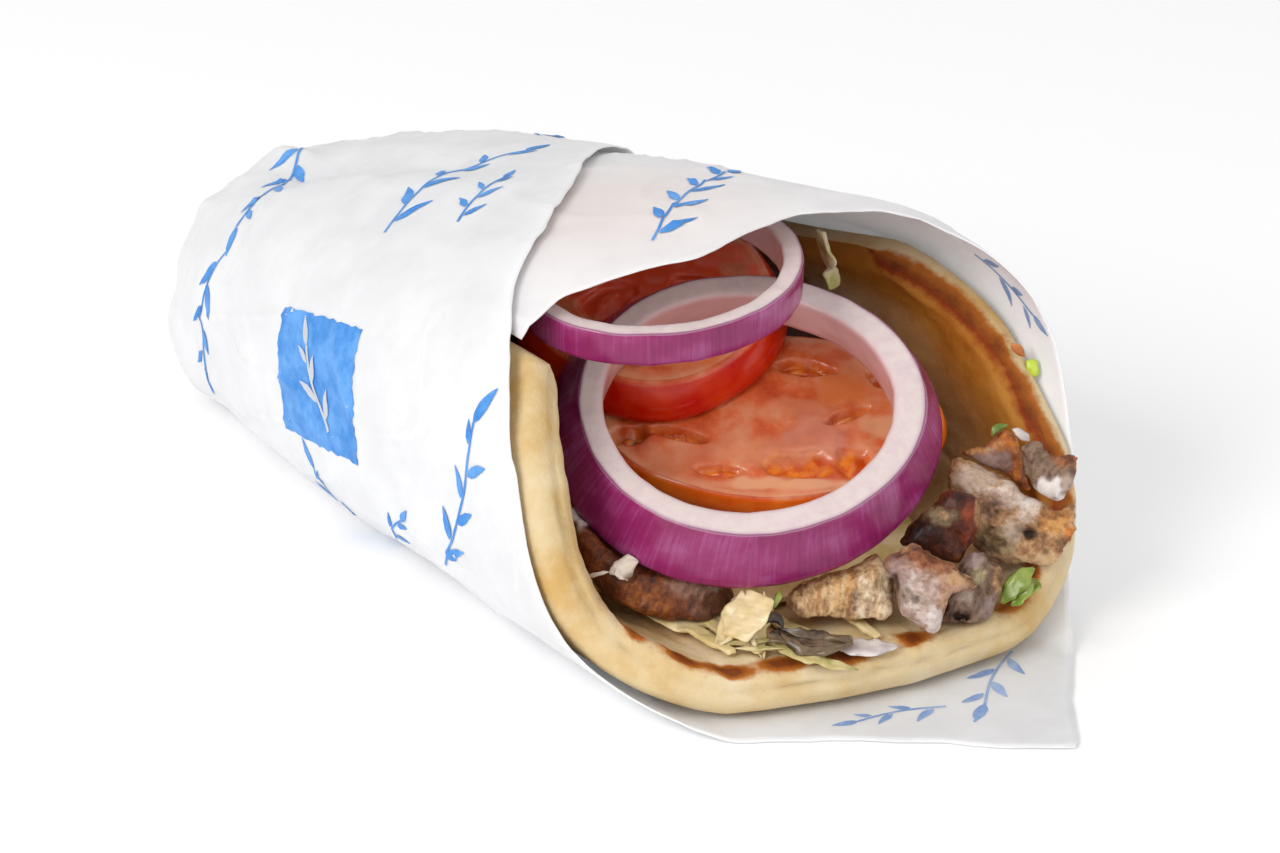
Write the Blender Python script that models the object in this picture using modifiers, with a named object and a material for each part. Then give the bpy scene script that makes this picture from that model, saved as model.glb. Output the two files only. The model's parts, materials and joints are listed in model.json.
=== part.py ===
"""Gyro wrap: a folded pita with its filling, rolled in a sheet of paper.

All sizes are in millimetres and turned into metres when a mesh is made.
The mouth faces -Y, the closed tail +Y, X runs across and the table is z = 0.
"""

import math
import random

import bmesh
import bpy
import numpy as np
from mathutils import Matrix, Vector, noise

MM = 0.001
SEED = 41

# Outer shape of the roll, one section per row: y, middle x, half width, height, foot height.
SECTIONS = (
    (-118.0, 3.0, 78.0, 58.0, 0.0),
    (-85.0, 3.0, 50.0, 58.0, 0.0),
    (-60.0, 3.0, 51.0, 65.0, 0.0),
    (-30.0, 2.0, 52.0, 69.0, 0.0),
    (0.0, 0.0, 50.0, 66.0, 0.0),
    (30.0, -2.0, 47.0, 60.0, 0.0),
    (60.0, -4.0, 42.0, 53.0, 0.0),
    (80.0, -6.0, 36.0, 47.0, 0.0),
    (93.0, -7.0, 29.0, 41.0, 0.0),
    (99.0, -8.0, 21.0, 33.0, 1.0),
    (103.0, -8.5, 11.5, 21.0, 5.0),
    (105.0, -9.0, 3.2, 8.0, 12.0),
)
ROUND_TOP = 2.3
ROUND_FOOT = 3.2
FOOT_CUT = 1.0
SECTION_STEPS = 360

# The paper sheet. A share of 0 is the bottom centre, 0.25 the -X wall, 0.5 the top, 0.75 the +X wall.
PAPER_T = 0.8
PAPER_UNDER = 1.5
TAIL_UNDER = 2.2
SHARE_STEP = 0.025
PAPER_START, PAPER_COLUMNS, PAPER_ROWS = 0.35, 58, 16
PAPER_EASE = 1.7
OVERLAP_SHARES = (0.80, 0.90)
TUCK_DEEPENS, TUCK_ENDS = (84.0, 98.0), (99.5, 103.5)
FLAP_FRONT = (
    (0.35, -33.0), (0.385, -32.0), (0.41, -35.0), (0.43, -37.0), (0.464, -40.0), (0.50, -38.0),
    (0.551, -34.5), (0.60, -35.0), (0.64, -39.0), (0.67, -44.0), (0.692, -52.0), (0.727, -59.0),
    (0.768, -66.5), (0.80, -70.0), (0.825, -73.0), (0.845, -78.0), (0.876, -87.0), (0.925, -99.6),
    (0.962, -112.5), (0.989, -106.0), (1.01, -99.5), (1.05, -91.0), (1.082, -86.0), (1.125, -79.0),
    (1.15, -70.0), (1.175, -61.0), (1.20, -55.0), (1.235, -50.7), (1.28, -47.0), (1.318, -40.0),
    (1.337, -35.2), (1.368, -26.0), (1.395, -19.3), (1.423, -12.9), (1.475, 0.0), (1.523, 14.0),
    (1.58, 27.0), (1.65, 40.0), (1.72, 52.0), (1.80, 62.0),
)
FLAP_REAR = (
    (0.35, 52.0), (0.60, 70.0), (0.70, 82.0), (0.775, 94.0), (0.80, 98.0), (0.825, 102.0),
    (0.85, 105.0), (1.80, 105.0),
)
FLARE = 5.5
FLARE_SHARE, FLARE_WIDE = 0.69, 0.06
FLARE_FADES = (-46.0, 6.0)
PITA_FLARE = 4.4

# The pita under the filling.
PITA_T = 8.3
PITA_START, PITA_COLUMNS, PITA_ROWS = 0.675, 27, 16
PITA_END = PITA_START + PITA_COLUMNS * SHARE_STEP
DOUBLED_RIGHT, DOUBLED_LEFT = (0.84, 0.94), (1.27, 1.33)
PITA_FRONT = (
    (0.675, -20.0), (0.685, -26.0), (0.70, -34.0), (0.717, -46.0), (0.744, -59.0), (0.762, -68.0),
    (0.785, -73.0), (0.822, -77.2), (0.87, -81.5), (0.915, -84.5), (0.99, -84.5), (1.04, -82.0),
    (1.084, -78.5), (1.12, -74.5), (1.15, -69.0), (1.175, -63.0), (1.20, -58.0), (1.235, -53.5),
    (1.28, -49.5), (1.318, -42.5), (1.35, -36.0),
)
PITA_REAR = (
    (0.675, 40.0), (0.72, 66.0), (0.80, 80.0), (0.92, 88.0),
    (1.10, 88.0), (1.22, 80.0), (1.29, 64.0), (1.35, 48.0),
)

# Room left between neighbours, in millimetres.
GAP = 0.45
HOLLOW_GAP = 0.3
WALL_GAP = 1.9
FOOT_EASE = 0.1
RIM_BEVEL = 3.4
RIM_ANGLE = math.radians(55.0)

# The plane that the large onion ring and the tomato slices follow.
VIEW_TURN = math.radians(-34.0)
STACK_TILT = math.radians(26.0)
STACK_AT = Vector((1.8, -41.8, 32.0))
RING_ARC = 44

# Large onion ring: radii and middles (toward the mouth, toward -X) in the stack plane.
RING_FOOT_R, RING_TOP_R, RING_HOLE_R = 33.3, 29.2, 24.3
RING_H_FRONT, RING_H_BACK = 10.5, 8.0
RING_WAVE = 0.012

# Tomato slices.
TOMATO_ARC = 40
FRONT_SLICE_T, BACK_SLICE_T = 5.4, 7.0
FRONT_WAVE, BACK_WAVE = 0.012, 0.014
STACK_GAP = 0.4
SLICE_EASE, SLICE_ABOVE = 1.6, 3.0
FRONT_AT, FRONT_R = (-11.0, -3.6), (18.5, 29.8)
BACK_AT, BACK_FOOT_R, BACK_TOP_R = (-32.5, 17.0), (24.3, 24.3), (20.4, 21.4)

# Small onion ring.
SMALL_TILT = math.radians(6.0)
SMALL_AT = Vector((-6.4, -22.2, 54.2))
SMALL_R, SMALL_WALL, SMALL_H = 26.6, 3.6, 6.0
SMALL_FLAT, SMALL_FLAT_TURN, SMALL_OVAL = 5.8, math.radians(100.0), 0.4

# Layers inside the pita.
BED_FOOT = 9.8
BED_TOP = 13.4
BED_FRONT_DROP = 2.6
BED_DROP_ENDS = (-56.0, -42.0)
BED_GAP = 0.4
FILL_FOOT = 13.9
FILL_LEFT = -13.5
FILL_GAP = 0.6
FILL_UNDER_TOP = 9.0
FILL_SINK = 1.6
LIP_FRONT = -77.5
BED_FRONT = -61.0
PRESS = 1.4
PRESS_SLOPE = 2.0
SHRED_TOP = 1.4
SHRED_END = 6.0
WALL_FOOT, WALL_REACH, WALL_RISE = 28.0, 7.0, 2.9

# Faces of the torn meat lean back and look the same way as the stack.
FACE_LEAN = math.radians(25.0)
FACE_ROUGH = 1.0
OUTLINE_EASE = 0.25
SKIN_CELL = 0.6
MORSEL_FACES = 300


def knots(table, at):
    """Return the value of a knot table at one place."""
    return float(np.interp(at, [row[0] for row in table], [row[1] for row in table]))


def section_sizes(y):
    """Return middle, half width, height and foot at y, smooth from station to station."""
    rows = np.array(SECTIONS)
    k = int(np.clip(np.searchsorted(rows[:, 0], y) - 1, 0, len(rows) - 2))
    low, high = rows[k], rows[k + 1]
    span = high[0] - low[0]
    t = min(1.0, max(0.0, (y - low[0]) / span))
    chord = (high - low) / span
    before = (low - rows[k - 1]) / (low[0] - rows[k - 1][0]) if k > 0 else chord
    after = (rows[k + 2] - high) / (rows[k + 2][0] - high[0]) if k + 2 < len(rows) else chord
    start, end = (before + chord) / 2 * span, (after + chord) / 2 * span
    return [
        (2 * t ** 3 - 3 * t ** 2 + 1) * low[i] + (t ** 3 - 2 * t ** 2 + t) * start[i]
        + (3 * t ** 2 - 2 * t ** 3) * high[i] + (t ** 3 - t ** 2) * end[i]
        for i in range(1, 5)
    ]


def section(y):
    """Return the closed section polygon at y, its inward normals and its arc shares."""
    mid, half, high, foot = section_sizes(y)
    foot = max(0.0, foot)
    turn = -np.pi / 2 - np.linspace(0.0, 2 * np.pi, SECTION_STEPS + 1)
    c, s = np.cos(turn), np.sin(turn)
    power = np.where(s > 0, ROUND_TOP, ROUND_FOOT)
    x = mid + half * np.sign(c) * np.abs(c) ** (2 / power)
    z = high / 2 + (high / 2 + FOOT_CUT) * np.sign(s) * np.abs(s) ** (2 / power) - FOOT_CUT
    line = np.stack([x, foot + np.maximum(z, 0.0)], 1)
    step = np.roll(line[:-1], -4, 0) - np.roll(line[:-1], 4, 0)
    step /= np.maximum(np.linalg.norm(step, axis=1, keepdims=True), 1e-9)
    inward = np.stack([step[:, 1], -step[:, 0]], 1)
    inward = np.vstack([inward, inward[:1]])
    run = np.concatenate([[0.0], np.cumsum(np.linalg.norm(np.diff(line, axis=0), axis=1))])
    return line, inward, run / run[-1]


SECTION_CACHE = {}


def skin(share, y, inset):
    """Return the point of the roll at an arc share and y, moved inward by inset."""
    key = round(y, 3)
    if key not in SECTION_CACHE:
        SECTION_CACHE[key] = section(y)
    line, inward, run = SECTION_CACHE[key]
    at = share % 1.0
    point = [np.interp(at, run, line[:, i]) for i in (0, 1)]
    way = [np.interp(at, run, inward[:, i]) for i in (0, 1)]
    return Vector((point[0] + way[0] * inset, y, point[1] + way[1] * inset))


def smooth_step(low, high, at):
    """Return 0 below low, 1 above high and a smooth rise between them."""
    t = min(1.0, max(0.0, (at - low) / (high - low)))
    return t * t * (3 - 2 * t)


def paper_inset(share, y):
    """Return how deep the paper's outer face lies: the inner flap goes under the outer one."""
    deep = PAPER_UNDER + TAIL_UNDER * smooth_step(*TUCK_DEEPENS, y)
    under = deep * (1.0 - smooth_step(*OVERLAP_SHARES, share)) * (1.0 - smooth_step(*TUCK_ENDS, y))
    flare = FLARE * math.exp(-((share - FLARE_SHARE) / FLARE_WIDE) ** 2)
    return under - flare * (1.0 - smooth_step(*FLARE_FADES, y))


def pita_inset(share, y):
    """Return how deep the pita's outer face lies, clear of the paper around it."""
    doubled = 1.0 - smooth_step(*DOUBLED_RIGHT, share) + smooth_step(*DOUBLED_LEFT, share)
    flare = PITA_FLARE * math.exp(-((share - FLARE_SHARE) / FLARE_WIDE) ** 2)
    return PAPER_T + GAP + PAPER_UNDER * doubled - flare * (1.0 - smooth_step(*FLARE_FADES, y))


def make(name, verts, faces, collection):
    """Make an object from points in millimetres and faces, with outward normals."""
    mesh = bpy.data.meshes.new(name)
    mesh.from_pydata([tuple(Vector(v) * MM) for v in verts], [], faces)
    bm = bmesh.new()
    bm.from_mesh(mesh)
    bmesh.ops.remove_doubles(bm, verts=bm.verts, dist=1e-5)
    bmesh.ops.recalc_face_normals(bm, faces=bm.faces)
    if bm.calc_volume(signed=True) < 0:
        bmesh.ops.reverse_faces(bm, faces=bm.faces)
    bm.to_mesh(mesh)
    bm.free()
    obj = bpy.data.objects.new(name, mesh)
    collection.objects.link(obj)
    return obj


def sheet(name, shares, front, rear, rows, inset, ease, collection):
    """Make an open sheet on the roll between two edges; its rows lie closer to the rear as ease grows."""
    verts = []
    for share in shares:
        low, high = knots(front, share), knots(rear, share)
        for j in range(rows + 1):
            y = low + (high - low) * (1.0 - (1.0 - j / rows) ** ease)
            verts.append(skin(share, y, inset(share, y)))
    faces = []
    for i in range(len(shares) - 1):
        for j in range(rows):
            a = i * (rows + 1) + j
            faces.append((a, a + rows + 1, a + rows + 2, a + 1))
    mesh = bpy.data.meshes.new(name)
    mesh.from_pydata([tuple(v * MM) for v in verts], [], faces)
    obj = bpy.data.objects.new(name, mesh)
    collection.objects.link(obj)
    return obj


def thicken(obj, thickness, inward_sign):
    """Give an open sheet its thickness on the inner side."""
    mod = obj.modifiers.new("thickness", "SOLIDIFY")
    mod.thickness = thickness * MM
    mod.offset = inward_sign
    mod.use_even_offset = True
    mod.use_rim = True
    return obj


def bevel_rim(obj, width):
    """Round the sharp rim left by the thickness."""
    mod = obj.modifiers.new("rim", "BEVEL")
    mod.width = width * MM
    mod.segments = 2
    mod.limit_method = "ANGLE"
    mod.angle_limit = RIM_ANGLE
    return obj


def build_paper(collection):
    """Roll the sheet: inner flap first, then under the pita and over the top again."""
    shares = [PAPER_START + SHARE_STEP * i for i in range(PAPER_COLUMNS + 1)]
    paper = sheet("paper", shares, FLAP_FRONT, FLAP_REAR, PAPER_ROWS, paper_inset, PAPER_EASE, collection)
    return thicken(paper, PAPER_T, -1.0)


def build_pita(collection):
    """Fold the round pita into the roll, open along the top."""
    shares = [PITA_START + SHARE_STEP * i for i in range(PITA_COLUMNS + 1)]
    pita = sheet("pita", shares, PITA_FRONT, PITA_REAR, PITA_ROWS, pita_inset, 1.0, collection)
    thicken(pita, PITA_T, -1.0)
    return bevel_rim(pita, RIM_BEVEL)


def stack_axes(tilt):
    """Return the in-plane way to the mouth, the in-plane way to -X and the upward normal."""
    level = Vector((math.sin(VIEW_TURN), -math.cos(VIEW_TURN), 0.0))
    mouth = level * math.cos(tilt) - Vector((0, 0, 1)) * math.sin(tilt)
    up = level * math.sin(tilt) + Vector((0, 0, 1)) * math.cos(tilt)
    return mouth, mouth.cross(up), up


def closed_loops(name, loops, collection):
    """Join loops of equal length into a ring shaped body, the last loop to the first."""
    count, size = len(loops), len(loops[0])
    verts = [v for loop in loops for v in loop]
    faces = []
    for k in range(count):
        for i in range(size):
            a, b = k * size + i, k * size + (i + 1) % size
            c, d = ((k + 1) % count) * size + (i + 1) % size, ((k + 1) % count) * size + i
            faces.append((a, b, c, d))
    return make(name, verts, faces, collection)


def capped_loops(name, loops, collection, sink=0.0):
    """Join loops of equal length into a solid closed by a fan at both ends, its middle sunk if need be."""
    size = len(loops[0])
    verts = [v for loop in loops for v in loop]
    faces = []
    for k in range(len(loops) - 1):
        for i in range(size):
            a, b = k * size + i, k * size + (i + 1) % size
            faces.append((a, b, b + size, a + size))
    for k, loop in ((0, loops[0]), (len(loops) - 1, loops[-1])):
        verts.append(sum((Vector(v) for v in loop), Vector()) / size - Vector((0.0, 0.0, sink)))
        middle = len(verts) - 1
        for i in range(size):
            faces.append((k * size + i, k * size + (i + 1) % size, middle))
    return make(name, verts, faces, collection)


def build_large_ring(collection):
    """Make the large onion ring that leans down toward the mouth."""
    mouth, side, up = stack_axes(STACK_TILT)
    # Profile rows: radius, shift toward the mouth, shift to -X, share of the height.
    profile = (
        (RING_FOOT_R - 1.0, -0.9, 1.4, 0.0), (RING_FOOT_R, -0.9, 1.4, 0.12), (RING_TOP_R + 1.6, -0.5, 0.9, 0.6),
        (RING_TOP_R, -0.2, 0.3, 0.97), (RING_TOP_R - 0.8, -0.2, 0.3, 1.0),
        (RING_HOLE_R + 0.8, -0.5, 0.9, 1.0), (RING_HOLE_R, -0.5, 0.9, 0.92),
        (RING_HOLE_R + 0.6, -0.5, 1.0, 0.06), (RING_HOLE_R + 1.2, -0.5, 1.0, 0.0),
    )
    loops = []
    for radius, ahead, left, share in profile:
        loop = []
        for i in range(RING_ARC):
            turn = 2 * math.pi * i / RING_ARC
            front = (1.0 + math.cos(turn)) / 2
            high = (RING_H_BACK + (RING_H_FRONT - RING_H_BACK) * front) * share
            round_r = radius * (1.0 + RING_WAVE * math.sin(3 * turn + 0.6))
            flat = mouth * (ahead + round_r * math.cos(turn)) + side * (left + round_r * math.sin(turn))
            loop.append(STACK_AT + flat + up * high)
        loops.append(loop)
    return closed_loops("onion_ring_large", loops, collection)


def build_small_ring(collection):
    """Make the small onion ring on top, half under the paper's edge."""
    mouth, side, up = stack_axes(SMALL_TILT)
    profile = (
        (SMALL_R - 0.6, 0.0), (SMALL_R, 0.12), (SMALL_R, 0.88), (SMALL_R - 0.5, 1.0),
        (SMALL_R - SMALL_WALL + 0.4, 1.0), (SMALL_R - SMALL_WALL, 0.9),
        (SMALL_R - SMALL_WALL, 0.1), (SMALL_R - SMALL_WALL + 0.4, 0.0),
    )
    loops = []
    for radius, share in profile:
        loop = []
        for i in range(RING_ARC):
            turn = 2 * math.pi * i / RING_ARC
            flat_side = SMALL_FLAT * max(0.0, math.cos(turn - SMALL_FLAT_TURN)) ** 2
            round_r = radius - flat_side + SMALL_OVAL * math.sin(2 * turn)
            flat = mouth * (round_r * math.cos(turn)) + side * (round_r * math.sin(turn))
            loop.append(SMALL_AT + flat + up * (SMALL_H * share))
        loops.append(loop)
    return closed_loops("onion_ring_small", loops, collection)


def tomato_slice(name, centre, radii, tops, thickness, wave, collection):
    """Make a slice with a rounded skin: centre in the stack plane, foot radii and top radii."""
    mouth, side, up = stack_axes(STACK_TILT)
    rows = ((-1.2, 0.0, 0.0), (0.0, 0.16, 0.1), (0.5, 0.5, 0.45), (0.0, 0.84, 0.85), (-1.0, 1.0, 1.0))
    loops = []
    for grow, share, blend in rows:
        loop = []
        for i in range(TOMATO_ARC):
            turn = 2 * math.pi * i / TOMATO_ARC
            ahead = (radii[0] * (1 - blend) + tops[0] * blend + grow) * math.cos(turn)
            left = (radii[1] * (1 - blend) + tops[1] * blend + grow) * math.sin(turn)
            ripple = 1.0 + wave * math.cos(5 * turn + 0.5)
            loop.append(STACK_AT + mouth * (centre[0] + ahead * ripple) + side * (centre[1] + left * ripple)
                        + up * (centre[2] + thickness * share))
        loops.append(loop)
    return capped_loops(name, loops, collection)


def build_tomatoes(collection):
    """Make the two tomato slices under the large ring."""
    back_at = (*BACK_AT, -STACK_GAP - BACK_SLICE_T)
    front_at = (*FRONT_AT, -2 * STACK_GAP - BACK_SLICE_T - FRONT_SLICE_T)
    tomato_slice("tomato_front", front_at, FRONT_R, FRONT_R, FRONT_SLICE_T, FRONT_WAVE, collection)
    tomato_slice("tomato_back", back_at, BACK_FOOT_R, BACK_TOP_R, BACK_SLICE_T, BACK_WAVE, collection)


def bed_top(y):
    """Return the height of the lettuce bed, lower toward the mouth."""
    return BED_TOP - BED_FRONT_DROP * (1.0 - smooth_step(*BED_DROP_ENDS, y))


HOLLOW_CACHE = {}
HOLLOW_STEPS = 96


def hollow_line(y):
    """Return the outline of the pita's hollow near y."""
    key = round(y * 2) / 2
    if key not in HOLLOW_CACHE:
        shares = [i / HOLLOW_STEPS for i in range(HOLLOW_STEPS)]
        HOLLOW_CACHE[key] = np.array([skin(share, key, hollow_wall(share))[:] for share in shares])
    return HOLLOW_CACHE[key]


def hollow_side(x, y, z):
    """Return x held between the hollow's two walls at a height."""
    line = hollow_line(y)
    half = HOLLOW_STEPS // 2
    left, right = line[2:half - 2], line[half + 3:-1][::-1]
    at = max(z, float(line[:, 2].min()) + FOOT_EASE)
    low = np.interp(at, left[:, 2], left[:, 0]) + WALL_GAP
    high = np.interp(at, right[:, 2], right[:, 0]) - WALL_GAP
    return float(min(max(x, low), high))


def keep_inside(point):
    """Move a point that touches the pita's wall to just inside the hollow."""
    line = hollow_line(point.y)
    centre = line.mean(0)
    away = np.hypot(line[:, 0] - point.x, line[:, 2] - point.z)
    i = int(np.argmin(away))
    edge = np.hypot(line[i, 0] - centre[0], line[i, 2] - centre[2])
    held = 1.0 - WALL_GAP / edge
    if point.y > LIP_FRONT and np.hypot(point.x - centre[0], point.z - centre[2]) > edge * held:
        x = centre[0] + (line[i, 0] - centre[0]) * held
        return Vector((x, point.y, centre[2] + (line[i, 2] - centre[2]) * held))
    return point


def clear_of_stack(point):
    """Press a point down so that it clears the large ring and the front slice."""
    mouth, side, up = stack_axes(STACK_TILT)
    local = point - STACK_AT
    ahead, left, high = local.dot(mouth), local.dot(side), local.dot(up)
    radius = math.hypot(ahead, left)
    if radius > RING_HOLE_R - PRESS:
        high = min(high, -PRESS + PRESS_SLOPE * max(0.0, radius - RING_FOOT_R))
    reach = [side_r + SLICE_EASE for side_r in FRONT_R]
    over = math.hypot((ahead - FRONT_AT[0]) / reach[0], (left - FRONT_AT[1]) / reach[1])
    foot = -PRESS - BACK_SLICE_T - FRONT_SLICE_T
    if over < 1.0 and foot < high < foot + FRONT_SLICE_T + SLICE_ABOVE:
        high = foot
    return STACK_AT + mouth * ahead + side * left + up * high


# Rings of a torn piece from its face to its back: share of the outline, share of the depth, bulge.
MORSEL_RINGS = (
    (0.40, 0.0, 0.9), (0.74, 0.0, 0.6), (0.93, 0.05, 0.1), (1.0, 0.20, 0.0),
    (1.0, 0.55, 0.0), (0.90, 0.88, 0.0), (0.70, 1.0, 0.0),
)

# Torn pieces: name, middle of the face, depth, bulge, outline to the right and up from the middle.
MORSELS = (
    ("meat_brown_slab", (-27.9, -52.2, 15.8), 11.0, 2.6, (
        (-12.2, 16.8), (-9.3, 17.5), (-6.0, 13.5), (0.0, 7.4), (7.1, 3.9), (13.9, 2.0), (14.7, -0.7),
        (14.3, -3.2), (13.0, -6.8), (11.2, -8.0), (6.6, -8.3), (1.1, -8.0), (-4.8, -7.5), (-8.3, -5.6), (-10.1, 3.4),
        (-11.4, 9.2))),
    ("meat_chicken_front", (-0.6, -72.8, 14.2), 10.0, 1.0, (
        (-11.4, -1.7), (-10.4, 0.9), (-7.8, 3.2), (-3.2, 4.9), (0.6, 5.9), (5.4, 8.5), (7.1, 6.2), (8.0, 3.2),
        (8.5, 0.2), (8.2, -2.1), (6.2, -2.9), (5.6, -4.7), (3.1, -5.4), (0.0, -4.5), (-3.5, -4.5),
        (-6.5, -4.0), (-9.4, -3.5))),
    ("meat_sauced_middle", (9.4, -82.1, 18.1), 6.0, 1.6, (
        (-7.6, 4.3), (-6.2, 7.1), (-3.0, 7.8), (-1.4, 6.6), (1.1, 5.3), (3.4, 4.2), (6.3, 2.5), (8.4, 0.4),
        (6.2, -0.1), (4.3, -0.8), (3.2, -2.1), (2.7, -3.9), (1.6, -5.5), (0.9, -7.7), (-0.4, -7.0),
        (-2.7, -5.7), (-4.8, -4.4), (-5.5, -1.9), (-6.3, 1.4))),
    ("meat_crusted_right", (18.7, -82.3, 13.8), 8.0, 0.6, (
        (-3.0, 2.6), (-2.3, 5.2), (-0.4, 7.7), (1.6, 7.2), (3.0, 6.2), (4.3, 5.6), (4.6, 3.6), (5.4, 1.2),
        (4.0, -0.1), (3.1, -2.7), (1.8, -4.1), (1.0, -5.7), (-1.2, -7.9), (-4.2, -8.0), (-6.3, -6.7),
        (-6.1, -4.1), (-4.8, -0.4))),
    ("meat_dark_brown", (19.9, -72.7, 22.4), 4.6, 1.2, (
        (0.0, 6.6), (2.3, 6.3), (5.3, 5.1), (5.8, 3.5), (5.5, 0.8), (4.5, -2.2), (3.1, -3.9), (2.5, -6.4),
        (0.0, -5.9), (-2.5, -4.7), (-5.7, -3.4), (-8.4, -3.0), (-7.0, -0.4), (-4.4, 2.3), (-1.7, 4.6))),
    ("meat_long_pale", (32.5, -75.1, 20.4), 9.0, 1.5, (
        (-10.4, 11.4), (-9.0, 11.6), (-5.0, 9.4), (-0.8, 7.9), (1.9, 5.2), (4.2, 4.1), (6.9, 3.0), (9.1, 1.9),
        (10.9, 0.2), (12.3, -1.8), (10.1, -3.3), (9.8, -5.2), (8.4, -6.8), (6.0, -7.4), (3.8, -7.0),
        (0.9, -6.7), (-2.0, -7.0), (-4.4, -6.0), (-7.1, -3.4), (-9.9, 0.7), (-11.0, 6.1))),
    ("meat_crust_sliver", (36.6, -66.8, 28.4), 5.0, 0.3, (
        (-7.9, 1.1), (-5.2, 1.8), (-3.2, 2.5), (-1.5, 4.2), (0.4, 5.0), (1.7, 4.2), (2.2, 2.0), (3.1, -0.9),
        (4.2, -4.0), (5.6, -6.5), (3.6, -5.5), (0.9, -2.9), (-3.4, -1.2))),
    ("meat_grey_back", (38.2, -76.9, 30.3), 7.0, 0.3, (
        (-5.1, 3.4), (-3.3, 4.9), (-1.6, 4.6), (0.1, 4.1), (3.4, 3.3), (5.1, 2.4), (5.1, -0.6), (3.9, -3.6),
        (1.8, -5.6), (-0.1, -5.0), (-1.6, -4.2), (-3.1, -2.1), (-4.4, 0.8))),
)


def face_axes():
    """Return the ways to the right, up and out of the torn pieces' faces."""
    right = Vector((math.cos(VIEW_TURN), math.sin(VIEW_TURN), 0.0))
    level = Vector((math.sin(VIEW_TURN), -math.cos(VIEW_TURN), 0.0))
    out = level * math.cos(FACE_LEAN) + Vector((0, 0, 1)) * math.sin(FACE_LEAN)
    return right, out.cross(right), out


def morsel(name, middle, depth, bulge, outline, seed, collection):
    """Make a torn piece from the outline of its face, pressed in among its neighbours."""
    right, up, out = face_axes()
    middle = Vector(middle)
    offset = Vector((seed * 3.1, seed * 1.7, 0.0))
    loops = []
    for share, deep, lift in MORSEL_RINGS:
        loop = []
        for u, v in outline:
            held = share * (1.0 - OUTLINE_EASE / math.hypot(u, v))
            spot = middle + right * (u * held) + up * (v * held)
            rough = 0.0 if share == 1.0 else FACE_ROUGH * noise.noise(spot * 0.22 + offset)
            spot += out * (lift * bulge + rough - deep * depth)
            loop.append(settled(spot))
        loops.append(loop)
    return one_skin(capped_loops(name, loops, collection))


def one_skin(obj):
    """Give a pressed piece one clean skin without folds, cut into about MORSEL_FACES triangles."""
    bpy.context.view_layer.objects.active = obj
    skin_over = obj.modifiers.new("skin", "REMESH")
    skin_over.mode = "VOXEL"
    skin_over.voxel_size = SKIN_CELL * MM
    bpy.ops.object.modifier_apply(modifier=skin_over.name)
    fewer = obj.modifiers.new("fewer", "DECIMATE")
    fewer.ratio = MORSEL_FACES / (2 * len(obj.data.polygons))
    fewer.use_collapse_triangulate = True
    bpy.ops.object.modifier_apply(modifier=fewer.name)
    bm = bmesh.new()
    bm.from_mesh(obj.data)
    bmesh.ops.triangulate(bm, faces=bm.faces)
    bmesh.ops.recalc_face_normals(bm, faces=bm.faces)
    bm.to_mesh(obj.data)
    bm.free()
    return obj


def settled(spot):
    """Return a point pressed clear of the bread, the lettuce and the stack."""
    spot = clear_of_stack(keep_inside(spot))
    shreds = SHRED_TOP * (1.0 - smooth_step(SHRED_END, SHRED_END + 2.0, spot.x))
    wall = WALL_RISE * (max(0.0, spot.x - WALL_FOOT) / WALL_REACH) ** 2
    bed = bed_top(spot.y) + BED_GAP if spot.y > BED_FRONT else 0.0
    spot.z = max(spot.z, BED_FOOT + max(shreds, wall), bed)
    return spot


def build_meat(collection):
    """Make the separate pieces that show at the mouth."""
    return [morsel(*row, SEED + i, collection) for i, row in enumerate(MORSELS)]


def stack_height(x, y, below):
    """Return the height of the stack plane moved down by a distance, at a place."""
    up = stack_axes(STACK_TILT)[2]
    return STACK_AT.z + (up.x * (STACK_AT.x - x) + up.y * (STACK_AT.y - y) - below) / up.z


def inner_loft(name, stations, foot, top, across, levels, collection, sink=0.0):
    """Make a body that fills the hollow of the pita from a flat foot to a top given by a function."""
    far = 200.0
    loops = []
    for y in stations:
        left, right = hollow_side(-far, y, foot), hollow_side(far, y, foot)
        loop = [Vector((left + (right - left) * i / across, y, foot)) for i in range(across + 1)]
        high_left, high_right = top(hollow_side(-far, y, foot), y), top(hollow_side(far, y, foot), y)
        for k in range(1, levels):
            z = foot + (high_right - foot) * k / levels
            loop.append(Vector((hollow_side(far, y, z), y, z)))
        left, right = hollow_side(-far, y, high_left), hollow_side(far, y, high_right)
        for i in range(across + 1):
            x = right + (left - right) * i / across
            loop.append(Vector((x, y, top(x, y))))
        for k in range(levels - 1, 0, -1):
            z = foot + (high_left - foot) * k / levels
            loop.append(Vector((hollow_side(-far, y, z), y, z)))
        loops.append(loop)
    return capped_loops(name, loops, collection, sink)


def hollow_wall(share):
    """Return the inset that clears the pita's inner face."""
    at = share + 1.0 if share < PITA_END - 1.0 else share
    return pita_inset(at, 0.0) + PITA_T + HOLLOW_GAP


def build_filling(collection):
    """Make the meat under the tomatoes, which runs through to the tail."""
    below = 2 * STACK_GAP + BACK_SLICE_T + FRONT_SLICE_T + FILL_GAP

    def top(x, y):
        return min(stack_height(max(x, FILL_LEFT), y, below), skin(0.5, y, 0.0).z - FILL_UNDER_TOP)

    stations = (-30.0, -24.0, -12.0, 0.0, 14.0, 28.0, 44.0, 58.0, 72.0)
    return inner_loft("meat_filling", stations, FILL_FOOT, top, 6, 4, collection, FILL_SINK)


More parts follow.
